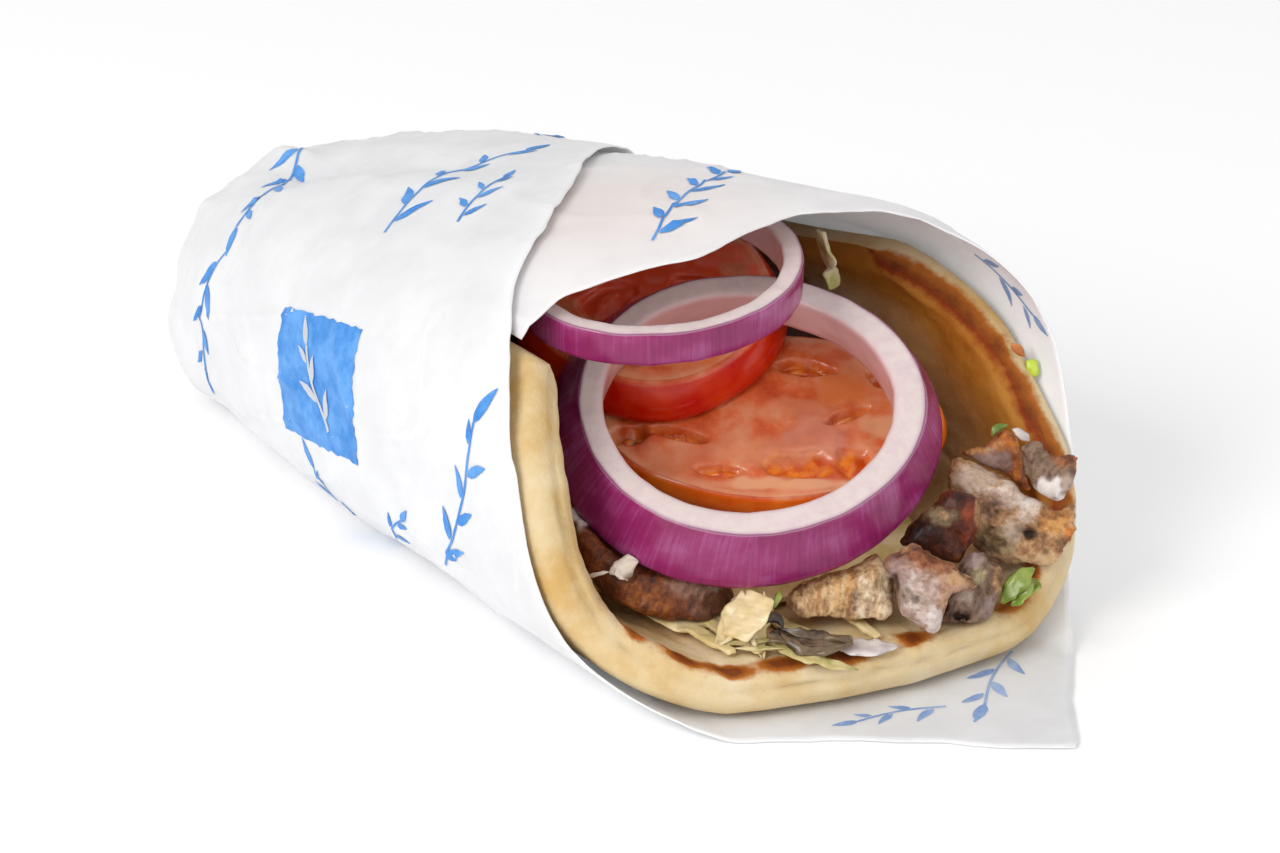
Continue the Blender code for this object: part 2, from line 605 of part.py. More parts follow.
def strip(name, path, width, thickness, wave, seed, collection, turn=0.0):
    """Make a thin wavy strip along a path, both faces cut into the same triangles."""
    rng = random.Random(seed)
    path = [Vector(p) for p in path]
    phase = rng.uniform(0.0, 6.0)
    steps, cross = 10, 3
    top, foot = [], []
    for i in range(steps + 1):
        t = i / steps * (len(path) - 1)
        k = min(int(t), len(path) - 2)
        f = t - k
        spot = path[k].lerp(path[k + 1], f)
        along = (path[k + 1] - path[k]).normalized()
        flat = along.cross(Vector((0, 0, 1)))
        if flat.length < 0.2:
            flat = Vector((1, 0, 0))
        flat.normalize()
        flat.rotate(Matrix.Rotation(turn, 3, along))
        up = flat.cross(along).normalized()
        wide = width * (0.55 + 0.45 * math.sin(math.pi * min(1.0, max(0.0, i / steps * 0.9 + 0.08))))
        for j in range(cross + 1):
            v = j / cross - 0.5
            lift = wave * math.sin(phase + i * 1.5 + j * 2.1)
            at = spot + flat * (wide * v) + up * lift
            top.append(at + up * thickness / 2)
            foot.append(at - up * thickness / 2)
    size = cross + 1
    faces, count = [], len(top)
    for i in range(steps):
        for j in range(cross):
            a = i * size + j
            b, c, d = a + 1, a + size + 1, a + size
            faces += [(a, b, c), (a, c, d)]
            faces += [(count + a, count + c, count + b), (count + a, count + d, count + c)]
    border = [i * size for i in range(steps + 1)] + [steps * size + j for j in range(1, size)]
    border += [i * size + cross for i in range(steps - 1, -1, -1)] + list(range(cross - 1, 0, -1))
    for i, a in enumerate(border):
        b = border[(i + 1) % len(border)]
        faces += [(a, b, count + b), (a, count + b, count + a)]
    return make(name, top + foot, faces, collection)


# Separate leaves that show: name, path, width, thickness, wave, turn in radians.
LEAVES = (
    ("leaf_hanging", ((-14.2, -67.0, 17.4), (-17.5, -67.9, 14.7), (-20.8, -68.8, 12.0)), 8.4, 0.7, 0.4, 0.0),
    ("leaf_green_right", ((24.6, -82.8, 13.4), (27.2, -84.2, 14.0), (29.8, -85.6, 14.6)), 5.0, 0.7, 0.3, 0.0),
    ("leaf_dark_curl", ((-16.2, -72.4, 12.4), (-11.0, -76.4, 12.2), (-5.0, -80.6, 11.8)), 3.6, 0.7, 0.5, 0.3),
    ("leaf_pale_back", ((34.6, -20.4, 43.6), (34.2, -19.6, 48.0), (32.4, -18.6, 54.6)), 4.6, 0.8, 0.3, 0.4),
)


def build_leaves(collection):
    """Make the separate leaves."""
    return [strip(name, path, width, thick, wave, SEED + 60 + i, collection, turn)
            for i, (name, path, width, thick, wave, turn) in enumerate(LEAVES)]


# Shreds that stick out of the lettuce bed onto the pita's lip: path, width.
SHREDS = (
    (((-22.6, -57.0, 10.45), (-22.6, -63.0, 10.45), (-22.0, -70.6, 10.4)), 2.8),
    (((-19.0, -57.0, 10.45), (-19.2, -64.0, 10.45), (-18.0, -73.0, 10.4)), 2.6),
    (((-16.0, -57.0, 10.45), (-15.0, -66.0, 10.45), (-13.2, -75.6, 10.4)), 3.2),
    (((-10.0, -57.0, 10.45), (-9.4, -67.0, 10.45), (-6.6, -78.2, 10.4)), 3.0),
    (((4.0, -57.0, 10.45), (2.0, -67.0, 10.45), (0.8, -79.6, 10.4)), 2.8),
)


def build_lettuce(collection, cutters):
    """Make the lettuce bed with the shreds that show fused on as one body."""
    def top(_, y):
        return bed_top(y)

    stations = (-60.0, -52.0, -40.0, -20.0, 0.0, 20.0, 40.0, 58.0, 74.0)
    bed = inner_loft("lettuce", stations, BED_FOOT, top, 6, 2, collection)
    for i, (path, width) in enumerate(SHREDS):
        strip("shred_%d" % i, path, width, 0.8, 0.12, SEED + 90 + i, cutters)
    join = bed.modifiers.new("join", "BOOLEAN")
    join.operation = "UNION"
    join.operand_type = "COLLECTION"
    join.collection = cutters
    join.solver = "EXACT"
    bpy.context.view_layer.update()
    bpy.context.view_layer.objects.active = bed
    bpy.ops.object.modifier_apply(modifier=join.name)
    for obj in list(cutters.objects):
        bpy.data.objects.remove(obj, do_unlink=True)
    return bed


# Colours are linear: name start, colour, roughness.
LOOKS = (
    ("paper", (0.90, 0.91, 0.92), 0.60),
    ("pita", (0.78, 0.58, 0.34), 0.75),
    ("lettuce", (0.55, 0.62, 0.28), 0.55),
    ("leaf", (0.62, 0.68, 0.34), 0.50),
    ("meat_filling", (0.23, 0.11, 0.06), 0.65),
    ("meat_chicken", (0.62, 0.46, 0.31), 0.60),
    ("meat_long", (0.60, 0.48, 0.38), 0.60),
    ("meat_sauced", (0.34, 0.26, 0.25), 0.50),
    ("meat_crusted", (0.30, 0.22, 0.20), 0.60),
    ("meat_grey", (0.36, 0.28, 0.26), 0.60),
    ("meat", (0.20, 0.08, 0.04), 0.60),
    ("tomato", (0.72, 0.10, 0.05), 0.30),
    ("onion", (0.42, 0.08, 0.28), 0.35),
)


def paint(obj):
    """Give a piece its own plain material."""
    _, colour, rough = next(row for row in LOOKS if obj.name.startswith(row[0]))
    mat = bpy.data.materials.new("mat_" + obj.name)
    mat.use_nodes = True
    shader = mat.node_tree.nodes["Principled BSDF"]
    shader.inputs["Base Color"].default_value = (*colour, 1.0)
    shader.inputs["Roughness"].default_value = rough
    shader.inputs["Metallic"].default_value = 0.0
    obj.data.materials.clear()
    obj.data.materials.append(mat)


def main():
    """Build every piece of the wrap."""
    for obj in list(bpy.data.objects):
        bpy.data.objects.remove(obj, do_unlink=True)
    wrap = bpy.data.collections.new("gyro_wrap")
    bpy.context.scene.collection.children.link(wrap)
    cutters = bpy.data.collections.new("joins")
    bpy.context.scene.collection.children.link(cutters)
    build_paper(wrap)
    build_pita(wrap)
    build_lettuce(wrap, cutters)
    build_filling(wrap)
    build_meat(wrap)
    build_leaves(wrap)
    build_tomatoes(wrap)
    build_large_ring(wrap)
    build_small_ring(wrap)
    bpy.data.collections.remove(cutters)
    for obj in wrap.objects:
        paint(obj)


main()
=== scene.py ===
"""Looks of the gyro wrap: the printed sheet, pita, onion, tomato, meat and leaves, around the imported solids.

Lengths are in millimetres until a mesh is made. The mouth faces -Y, the tail +Y, and the table is z = 0.
"""

import json
import logging
import math
from dataclasses import dataclass, field
from enum import Enum
from typing import Any, Callable, ClassVar, Sequence

import bmesh
import bpy
import numpy as np
from mathutils import Matrix, Vector, noise

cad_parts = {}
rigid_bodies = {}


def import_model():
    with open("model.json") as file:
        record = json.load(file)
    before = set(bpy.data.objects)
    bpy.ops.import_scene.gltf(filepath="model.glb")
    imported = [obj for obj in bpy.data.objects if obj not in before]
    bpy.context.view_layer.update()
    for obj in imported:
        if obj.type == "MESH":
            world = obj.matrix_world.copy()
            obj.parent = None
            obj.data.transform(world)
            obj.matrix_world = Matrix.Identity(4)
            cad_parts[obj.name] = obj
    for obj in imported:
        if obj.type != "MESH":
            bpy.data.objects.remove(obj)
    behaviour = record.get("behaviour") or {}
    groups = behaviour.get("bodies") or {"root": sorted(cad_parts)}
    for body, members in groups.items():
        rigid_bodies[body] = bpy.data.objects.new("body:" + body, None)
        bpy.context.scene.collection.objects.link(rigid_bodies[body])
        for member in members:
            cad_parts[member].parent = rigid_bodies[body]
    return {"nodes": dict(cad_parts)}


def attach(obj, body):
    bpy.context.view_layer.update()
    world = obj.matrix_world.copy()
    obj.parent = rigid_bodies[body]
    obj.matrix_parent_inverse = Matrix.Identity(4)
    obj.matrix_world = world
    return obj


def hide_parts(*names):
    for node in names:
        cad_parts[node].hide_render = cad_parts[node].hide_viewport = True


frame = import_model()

LOG = logging.getLogger("gyro_wrap")
MM = 0.001
BODY = "root"
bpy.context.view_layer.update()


def linear(code: str) -> tuple[float, float, float, float]:
    """Turn an sRGB hex colour into linear light.

    Args:
        code: six hex digits, with or without a leading hash.

    Returns:
        Red, green, blue and a full alpha.
    """
    code = code.lstrip("#")
    parts = [int(code[i:i + 2], 16) / 255 for i in (0, 2, 4)]
    return (*[c / 12.92 if c <= 0.04045 else ((c + 0.055) / 1.055) ** 2.4 for c in parts], 1.0)


def add(mat: bpy.types.Material, kind: str, inputs: dict[Any, Any] | None = None, ramp: Sequence = (),
        **settings: Any) -> bpy.types.Node:
    """Add a shader node with its settings and links.

    Args:
        mat: material whose node tree grows.
        kind: node type without the ShaderNode prefix.
        inputs: socket name or index to a value, or to an output socket that is linked.
        ramp: stops of a colour ramp, each a position and a hex colour or a grey value.
        settings: attributes of the node.

    Returns:
        The new node.
    """
    tree = mat.node_tree
    node = tree.nodes.new("ShaderNode" + kind)
    for key, value in settings.items():
        setattr(node, key, value)
    for key, value in (inputs or {}).items():
        if isinstance(value, bpy.types.NodeSocket):
            tree.links.new(value, node.inputs[key])
        else:
            node.inputs[key].default_value = value
    if ramp:
        stops = node.color_ramp.elements
        while len(stops) < len(ramp):
            stops.new(0.5)
        for stop, (position, shade) in zip(stops, ramp):
            stop.position = position
            stop.color = linear(shade) if isinstance(shade, str) else (shade, shade, shade, 1.0)
    return node


def blend(mat: bpy.types.Material, share: Any, first: Any, second: Any,
          how: str = "MIX") -> bpy.types.NodeSocket:
    """Mix two colours.

    Args:
        mat: material to work in.
        share: factor socket or number.
        first: colour at 0.
        second: colour at 1.
        how: blend type of the mix node.

    Returns:
        The mixed colour's socket.
    """
    node = add(mat, "Mix", {0: share, 6: first, 7: second}, data_type="RGBA", blend_type=how)
    return node.outputs[2]


@dataclass(frozen=True)
class Finish:
    """One finish: what the surface is made of, named for it."""

    name: str
    rough: float = 0.5
    ior: float = 1.45

    def start(self) -> tuple[bpy.types.Material, bpy.types.Node]:
        """Make the empty material and return it with its shader."""
        mat = bpy.data.materials.new(self.name)
        mat.use_nodes = True
        shader = mat.node_tree.nodes["Principled BSDF"]
        shader.inputs["Roughness"].default_value = self.rough
        shader.inputs["IOR"].default_value = self.ior
        return mat, shader

    def grain(self, mat: bpy.types.Material, size_mm: float | Sequence[float], detail: float = 5.0,
              rough: float = 0.6, source: str = "Object") -> bpy.types.NodeSocket:
        """Return a noise whose bumps have a real size.

        Args:
            mat: material to work in.
            size_mm: size of a bump, or its sizes across and along a UV map.
            detail: octaves of the noise.
            rough: how strong the fine octaves are.
            source: Object, or the name of a UV map in metres.

        Returns:
            The noise's socket.
        """
        if source == "Object":
            base = add(mat, "TexCoord").outputs["Object"]
            scale = (1.0 / (size_mm * MM),) * 3
        else:
            base = add(mat, "UVMap", uv_map=source).outputs["UV"]
            scale = (1.0 / (size_mm[0] * MM), 1.0 / (size_mm[1] * MM), 1.0)
        where = add(mat, "Mapping", {"Vector": base, "Scale": scale}).outputs["Vector"]
        sockets = {"Vector": where, "Scale": 1.0, "Detail": detail, "Roughness": rough}
        return add(mat, "TexNoise", sockets).outputs["Fac"]

    def share(self, mat: bpy.types.Material, value: bpy.types.NodeSocket, low: float, high: float) -> Any:
        """Return how far a value has come from low to high."""
        return add(mat, "MapRange", {"Value": value, "From Min": low, "From Max": high}).outputs[0]

    def mixed(self, mat: bpy.types.Material, value: bpy.types.NodeSocket, low: float, high: float, first: str,
              second: str) -> bpy.types.NodeSocket:
        """Return the mix of two hex colours, by how far a value has come from low to high."""
        return blend(mat, self.share(mat, value, low, high), linear(first), linear(second))

    def noted(self, mat: bpy.types.Material, name: str, kind: str = "Fac") -> bpy.types.NodeSocket:
        """Return an attribute that the piece carries."""
        return add(mat, "Attribute", attribute_name=name).outputs[kind]

    def sum(self, mat: bpy.types.Material, value: Any, factor: float, more: Any) -> bpy.types.NodeSocket:
        """Return a value times a factor, plus one more."""
        return add(mat, "Math", {0: value, 1: factor, 2: more}, operation="MULTIPLY_ADD").outputs[0]

    def relief(self, mat: bpy.types.Material, shader: bpy.types.Node, *layers: tuple) -> None:
        """Put fine relief on the surface, from layers of height socket, strength and depth in mm."""
        normal = None
        for height, strength, deep_mm in layers:
            sockets = {"Height": height, "Strength": strength, "Distance": deep_mm * MM}
            if normal:
                sockets["Normal"] = normal
            normal = add(mat, "Bump", sockets).outputs[0]
        self.link(mat, normal, shader, "Normal")

    def soak(self, shader: bpy.types.Node, weight: float, *radius_mm: float) -> None:
        """Let light into the surface, by weight and a reach in red, green and blue."""
        shader.inputs["Subsurface Weight"].default_value = weight
        shader.inputs["Subsurface Radius"].default_value = [reach * MM for reach in radius_mm]
        shader.inputs["Subsurface Scale"].default_value = 1.0

    def wet(self, shader: bpy.types.Node, weight: float, rough: float) -> None:
        """Lay a clear wet film over the surface."""
        shader.inputs["Coat Weight"].default_value = weight
        shader.inputs["Coat Roughness"].default_value = rough

    def link(self, mat: bpy.types.Material, out: bpy.types.NodeSocket, shader: bpy.types.Node,
             name: str) -> None:
        """Link an output into one of the shader's sockets."""
        mat.node_tree.links.new(out, shader.inputs[name])


@dataclass(frozen=True)
class WrapPaper(Finish):
    """Greaseproof wrapping paper, bleached pulp pressed smooth: white, faintly mottled, with a soft sheen."""

    name: str = "greaseproof_paper"
    rough: float = 0.52
    fibre_mm: float = 0.9
    mottle_mm: float = 14.0
    bright: str = "F2F2F4"
    shade: str = "E8E8EA"
    greasy: str = "E6D8D2"

    def build(self) -> bpy.types.Material:
        """Return the paper's material."""
        mat, shader = self.start()
        mottle = self.grain(mat, self.mottle_mm, 4.0, 0.55)
        base = self.mixed(mat, mottle, 0.38, 0.62, self.bright, self.shade)
        base = blend(mat, self.noted(mat, "damp"), base, linear(self.greasy))
        self.link(mat, base, shader, "Base Color")
        self.relief(mat, shader, (self.grain(mat, self.fibre_mm, 3.0), 0.16, 0.2))
        self.soak(shader, 0.5, 2.0, 2.0, 2.0)
        return mat


@dataclass(frozen=True)
class PrintInk(Finish):
    """Water based blue ink rubbed on by a printing roller: flat, a little uneven, darker where it pooled."""

    name: str = "blue_print_ink"
    rough: float = 0.55
    full: str = "2C7CC8"
    light: str = "5C9BDD"
    patch_mm: float = 7.0

    def build(self) -> bpy.types.Material:
        """Return the ink's material."""
        mat, shader = self.start()
        cloud = self.grain(mat, self.patch_mm, 6.0, 0.7)
        self.link(mat, self.mixed(mat, cloud, 0.4, 0.6, self.full, self.light), shader, "Base Color")
        return mat


@dataclass(frozen=True)
class PitaCrumb(Finish):
    """Griddled flat bread: a pale floury skin with blisters, gold patches and burnt ridges."""

    name: str = "griddled_pita"
    rough: float = 0.66
    ior: float = 1.30
    patch_mm: float = 16.0
    blister_mm: float = 3.5
    pore_mm: float = 1.1
    pale: str = "DAC9A9"
    cream: str = "D4BC8F"
    gold: str = "C8A366"
    toast: str = "A8601A"
    burnt: str = "74360C"
    # Warm brown multiplied into the inner face: partly the crumb's own golden colour, partly painted shade
    # inside the mouth.
    inside: str = "D09848"

    def build(self) -> bpy.types.Material:
        """Return the bread's material."""
        mat, shader = self.start()
        wide, small = self.grain(mat, self.patch_mm), self.grain(mat, self.blister_mm)
        stops = ((0.36, self.pale), (0.52, self.cream), (0.68, self.gold))
        base = add(mat, "ValToRGB", {0: wide}, ramp=stops).outputs[0]
        broken = add(mat, "Math", {0: small, 1: 0.5}, operation="SUBTRACT").outputs[0]
        broken = self.sum(mat, broken, 1.1, self.noted(mat, "toast"))
        brown = self.mixed(mat, broken, 0.62, 1.1, self.toast, self.burnt)
        base = blend(mat, self.share(mat, broken, 0.22, 0.62), base, brown)
        # The inner face is multiplied toward a warm brown: partly the crumb's own colour, partly painted shade
        # inside the mouth.
        inner_brown_and_shade = blend(mat, self.noted(mat, "inside"), linear("FFFFFF"), linear(self.inside))
        self.link(mat, blend(mat, 1.0, base, inner_brown_and_shade, "MULTIPLY"), shader, "Base Color")
        self.relief(mat, shader, (self.grain(mat, self.pore_mm, 4.0, 0.65), 0.35, 0.5), (small, 0.35, 0.9))
        self.soak(shader, 0.12, 4.0, 2.0, 1.0)
        return mat


@dataclass(frozen=True)
class RedOnion(Finish):
    """Fresh red onion: a wet violet skin layer with fine upright fibres, and a milky cut face."""

    name: str = "red_onion"
    rough: float = 0.24
    fibre_mm: tuple[float, float] = (0.6, 14.0)
    cloud_mm: tuple[float, float] = (11.0, 9.0)
    cell_mm: float = 2.2
    skin_dark: str = "74104A"
    skin: str = "8E2260"
    skin_light: str = "A85890"
    cut: str = "DACAC6"
    cut_blush: str = "D3BFC0"
    line: str = "7E2F66"
    inner: str = "D9AFB0"

    def build(self) -> bpy.types.Material:
        """Return the onion's material."""
        mat, shader = self.start()
        fibres = self.grain(mat, self.fibre_mm, 3.0, source="wall")
        both = self.sum(mat, fibres, 0.45, self.grain(mat, self.cloud_mm, 3.0, 0.5, "wall"))
        stops = ((0.46, self.skin_dark), (0.70, self.skin), (1.0, self.skin_light))
        skin = add(mat, "ValToRGB", {0: both}, ramp=stops).outputs[0]
        cells = self.grain(mat, self.cell_mm, 4.0)
        cut = self.mixed(mat, cells, 0.42, 0.68, self.cut, self.cut_blush)
        cut = blend(mat, self.noted(mat, "edge"), cut, linear(self.line))
        cut = blend(mat, self.noted(mat, "inner"), cut, linear(self.inner))
        self.link(mat, blend(mat, self.noted(mat, "skin"), cut, skin), shader, "Base Color")
        self.relief(mat, shader, (fibres, 0.10, 0.3), (cells, 0.15, 0.3))
        self.soak(shader, 0.10, 3.0, 2.0, 2.5)
        self.wet(shader, 0.18, 0.12)
        return mat


class TomatoTint(Enum):
    """Colours that cloud the flesh of a cut tomato."""

    PINK = "C98A80"
    PALE = "E9A77C"
    PEACH = "EA7C3A"
    DEEP = "B5421F"
    ORANGE = "D8560E"
    GREEN = "46461A"
    # The back slice's own red flesh, brightened as painted light where the sheet shades it.
    RED = "FA4818"


@dataclass(frozen=True)
class RipeTomato(Finish):
    """Sliced ripe tomato: wet salmon flesh, clear orange gel round the seeds and a tight glossy skin."""

    name: str = "ripe_tomato"
    rough: float = 0.20
    ior: float = 1.38
    cloud_mm: float = 7.0
    fine_mm: float = 2.4
    flesh: str = "DE6A3A"
    flesh_pale: str = "E89468"
    flesh_deep: str = "C4481E"
    gel: str = "CE4E08"
    gel_light: str = "EC8420"
    skin: str = "CC1200"
    skin_light: str = "E03C0A"

    def build(self) -> bpy.types.Material:
        """Return the tomato's material."""
        mat, shader = self.start()
        cloud, fine = self.grain(mat, self.cloud_mm), self.grain(mat, self.fine_mm, 4.0)
        stops = ((0.34, self.flesh_deep), (0.50, self.flesh), (0.66, self.flesh_pale))
        flesh = add(mat, "ValToRGB", {0: cloud}, ramp=stops).outputs[0]
        gel = self.mixed(mat, fine, 0.4, 0.62, self.gel, self.gel_light)
        base = blend(mat, self.noted(mat, "gel"), flesh, gel)
        base = blend(mat, self.noted(mat, "veil"), base, self.noted(mat, "haze", "Color"))
        red = self.mixed(mat, cloud, 0.35, 0.7, self.skin, self.skin_light)
        self.link(mat, blend(mat, self.noted(mat, "skin"), base, red), shader, "Base Color")
        self.relief(mat, shader, (fine, 0.18, 0.4))
        self.soak(shader, 0.16, 5.0, 1.2, 0.8)
        self.wet(shader, 0.3, 0.08)
        return mat


class Tone(Enum):
    """Colours that show on roasted, torn and sauced meat."""

    ROAST = "80401A"
    ROAST_DEEP = "592713"
    # Golden specks on the slab, partly a painted highlight on its glossy face.
    SPECK = "B4702A"
    DARK = "2A140D"
    RUST = "95401C"
    CRUST = "A8683E"
    TAN = "C49C72"
    GOLD = "D29A55"
    ORANGE = "D0802F"
    CREAM = "DDBD92"
    PALE = "E8D6BA"
    PINK = "B68E78"
    LILAC = "9A8480"
    GREY = "8C725E"
    OLIVE = "8E7C5C"
    YELLOW = "CFCB97"
    FILM = "BAA698"
    SAUCE = "DDD4D0"


@dataclass(frozen=True)
class RoastMeat(Finish):
    """Spit roasted meat.

    The colour changes from place to place with the crust, the torn flesh and the yoghurt sauce on it; long
    fibres and fine grain break each colour up, partly their own colour and partly painted shade in their
    hollows and a painted highlight on their ridges, and the sauced places are smoother.
    """

    name: str = "roast_meat"
    rough: float = 0.46
    ior: float = 1.34
    grain_mm: float = 0.9
    clump_mm: float = 4.2
    # Colours of the grain's low and high places: partly its own colour, partly painted shade in the hollows
    # and a painted highlight on the ridges.
    hollow_with_painted_shade: str = "5A3A28"
    ridge_with_painted_light: str = "D8C8B8"

    def build(self) -> bpy.types.Material:
        """Return the meat's material."""
        mat, shader = self.start()
        tone, sauce = self.noted(mat, "tone", "Color"), self.noted(mat, "sauce")
        fine, wide = self.grain(mat, self.grain_mm, 5.0, 0.65), self.grain(mat, self.clump_mm)
        both = self.sum(mat, self.noted(mat, "fibre"), 0.30, self.sum(mat, fine, 0.55, wide))
        stops = ((0.66, self.hollow_with_painted_shade), (0.86, self.ridge_with_painted_light), (1.02, "FFFFFF"))
        shade = add(mat, "ValToRGB", {0: both}, ramp=stops).outputs[0]
        # A painted highlight that lightens the highest ridges.
        lift = add(mat, "ValToRGB", {0: both}, ramp=((0.96, 0.0), (1.0, 0.35))).outputs[0]
        base = blend(mat, 0.85, tone, shade, "MULTIPLY")
        base = blend(mat, 0.30, base, lift, "SOFT_LIGHT")
        self.link(mat, blend(mat, self.sum(mat, sauce, 0.75, 0.0), base, tone), shader, "Base Color")
        dull = add(mat, "Math", {0: 1.0, 1: sauce}, operation="SUBTRACT").outputs[0]
        strong = self.sum(mat, dull, 0.6, 0.12)
        self.relief(mat, shader, (fine, strong, 0.6), (wide, strong, 1.0))
        self.soak(shader, 0.10, 3.0, 1.4, 0.9)
        self.wet(shader, 0.14, 0.22)
        return mat


@dataclass(frozen=True)
class Sauce(Finish):
    """Yoghurt sauce: smooth, wet and milky, faintly grey where it is thin."""

    name: str = "yoghurt_sauce"
    rough: float = 0.25
    cloud_mm: float = 4.0
    milk: str = "E2DAD4"
    thin: str = "BFB3AE"

    def build(self) -> bpy.types.Material:
        """Return the sauce's material."""
        mat, shader = self.start()
        cloud = self.grain(mat, self.cloud_mm, 3.0, 0.5)
        self.link(mat, self.mixed(mat, cloud, 0.4, 0.65, self.milk, self.thin), shader, "Base Color")
        self.relief(mat, shader, (cloud, 0.2, 0.5))
        self.soak(shader, 0.2, 2.0, 2.0, 2.0)
        self.wet(shader, 0.4, 0.1)
        return mat


@dataclass(frozen=True)
class LettuceLeaf(Finish):
    """Shredded lettuce: thin watery leaf, pale at the rib and green at the rim."""

    name: str = "lettuce_leaf"
    rough: float = 0.34
    cloud_mm: float = 5.0
    vein_mm: float = 1.2
    pale: str = "EDE6BE"
    green: str = "CCCB82"
    deep: str = "94A548"

    def build(self) -> bpy.types.Material:
        """Return the leaf's material."""
        mat, shader = self.start()
        stops = ((0.40, self.pale), (0.55, self.green), (0.72, self.deep))
        base = add(mat, "ValToRGB", {0: self.grain(mat, self.cloud_mm, 4.0, 0.55)}, ramp=stops).outputs[0]
        self.link(mat, base, shader, "Base Color")
        self.relief(mat, shader, (self.grain(mat, self.vein_mm, 3.0, 0.5), 0.3, 0.4))
        self.soak(shader, 0.2, 2.0, 2.5, 1.0)
        self.wet(shader, 0.3, 0.2)
        return mat


@dataclass(frozen=True)
class StudioFloor(Finish):
    """Matt white table under the wrap."""

    name: str = "white_table"
    rough: float = 0.8
    white: float = 0.97

    def build(self) -> bpy.types.Material:
        """Return the floor's material."""
        mat, shader = self.start()
        shader.inputs["Base Color"].default_value = (self.white, self.white, self.white, 1.0)
        return mat


class Roll:
    """Outer surface of the wrap, by the same rule as the solids.

    A share of 0 is the bottom centre, 0.25 the -X wall, 0.5 the top and 0.75 the +X wall.
    """

    SECTIONS = (
        (-118.0, 3.0, 78.0, 58.0, 0.0), (-85.0, 3.0, 50.0, 58.0, 0.0), (-60.0, 3.0, 51.0, 65.0, 0.0),
        (-30.0, 2.0, 52.0, 69.0, 0.0), (0.0, 0.0, 50.0, 66.0, 0.0), (30.0, -2.0, 47.0, 60.0, 0.0),
        (60.0, -4.0, 42.0, 53.0, 0.0), (80.0, -6.0, 36.0, 47.0, 0.0), (93.0, -7.0, 29.0, 41.0, 0.0),
        (99.0, -8.0, 21.0, 33.0, 1.0), (103.0, -8.5, 11.5, 21.0, 5.0), (105.0, -9.0, 3.2, 8.0, 12.0),
    )
    ROUND_TOP, ROUND_FOOT, FOOT_CUT = 2.3, 3.2, 1.0
    STEPS = 360
    START, STEP, END = -122.0, 0.5, 105.0
    SHARES = 720

    def __init__(self) -> None:
        """Tabulate the surface once, so that whole grids are looked up at once."""
        self.ys = np.arange(self.START, self.END + self.STEP / 2, self.STEP)
        grid = np.linspace(0.0, 1.0, self.SHARES + 1)
        points, ways, around = [], [], []
        for y in self.ys:
            line, inward, run = self.section(float(y))
            around.append(run[-1])
            run = run / run[-1]
            points.append(np.stack([np.interp(grid, run, line[:, i]) for i in (0, 1)], 1))
            ways.append(np.stack([np.interp(grid, run, inward[:, i]) for i in (0, 1)], 1))
        self.points, self.ways = np.array(points), np.array(ways)
        self.around = np.array(around)

    def sizes(self, y: float) -> list[float]:
        """Return middle, half width, height and foot at y, smooth from station to station."""
        rows = np.array(self.SECTIONS)
        k = int(np.clip(np.searchsorted(rows[:, 0], y) - 1, 0, len(rows) - 2))
        low, high = rows[k], rows[k + 1]
        span = high[0] - low[0]
        t = min(1.0, max(0.0, (y - low[0]) / span))
        chord = (high - low) / span
        before = (low - rows[k - 1]) / (low[0] - rows[k - 1][0]) if k > 0 else chord
        after = (rows[k + 2] - high) / (rows[k + 2][0] - high[0]) if k + 2 < len(rows) else chord
        start, end = (before + chord) / 2 * span, (after + chord) / 2 * span
        return [
            (2 * t ** 3 - 3 * t ** 2 + 1) * low[i] + (t ** 3 - 2 * t ** 2 + t) * start[i]
            + (3 * t ** 2 - 2 * t ** 3) * high[i] + (t ** 3 - t ** 2) * end[i]
            for i in range(1, 5)
        ]

    def section(self, y: float) -> tuple[np.ndarray, np.ndarray, np.ndarray]:
        """Return the section's outline at y, its inward normals and its running length."""
        mid, half, high, foot = self.sizes(y)
        foot = max(0.0, foot)
        turn = -np.pi / 2 - np.linspace(0.0, 2 * np.pi, self.STEPS + 1)
        c, s = np.cos(turn), np.sin(turn)
        power = np.where(s > 0, self.ROUND_TOP, self.ROUND_FOOT)
        x = mid + half * np.sign(c) * np.abs(c) ** (2 / power)
        z = high / 2 + (high / 2 + self.FOOT_CUT) * np.sign(s) * np.abs(s) ** (2 / power) - self.FOOT_CUT
        line = np.stack([x, foot + np.maximum(z, 0.0)], 1)
        step = np.roll(line[:-1], -4, 0) - np.roll(line[:-1], 4, 0)
        step /= np.maximum(np.linalg.norm(step, axis=1, keepdims=True), 1e-9)
        inward = np.stack([step[:, 1], -step[:, 0]], 1)
        inward = np.vstack([inward, inward[:1]])
        run = np.concatenate([[0.0], np.cumsum(np.linalg.norm(np.diff(line, axis=0), axis=1))])
        return line, inward, run

    def at(self, share: np.ndarray, y: np.ndarray, inset: np.ndarray) -> np.ndarray:
        """Look up points of the surface.

        Args:
            share: arc shares, any shape.
            y: places along the roll, of the same shape.
            inset: how far each point lies inside the surface.

        Returns:
            Points in millimetres, with a last axis of three.
        """
        share, y, inset = np.broadcast_arrays(*(np.asarray(v, float) for v in (share, y, inset)))
        row = np.clip((y - self.START) / self.STEP, 0, len(self.ys) - 1.001)
        col = (share % 1.0) * self.SHARES
        i, j = row.astype(int), np.minimum(col.astype(int), self.SHARES - 1)
        a, b = (row - i)[..., None], (col - j)[..., None]

        def mix(table: np.ndarray) -> np.ndarray:
            """Return the table's values between its four nearest entries."""
            low = table[i, j] * (1 - b) + table[i, j + 1] * b
            high = table[i + 1, j] * (1 - b) + table[i + 1, j + 1] * b
            return low * (1 - a) + high * a

        spot, way = mix(self.points), mix(self.ways)
        flat = spot + way * inset[..., None]
        return np.stack([flat[..., 0], y, flat[..., 1]], -1)

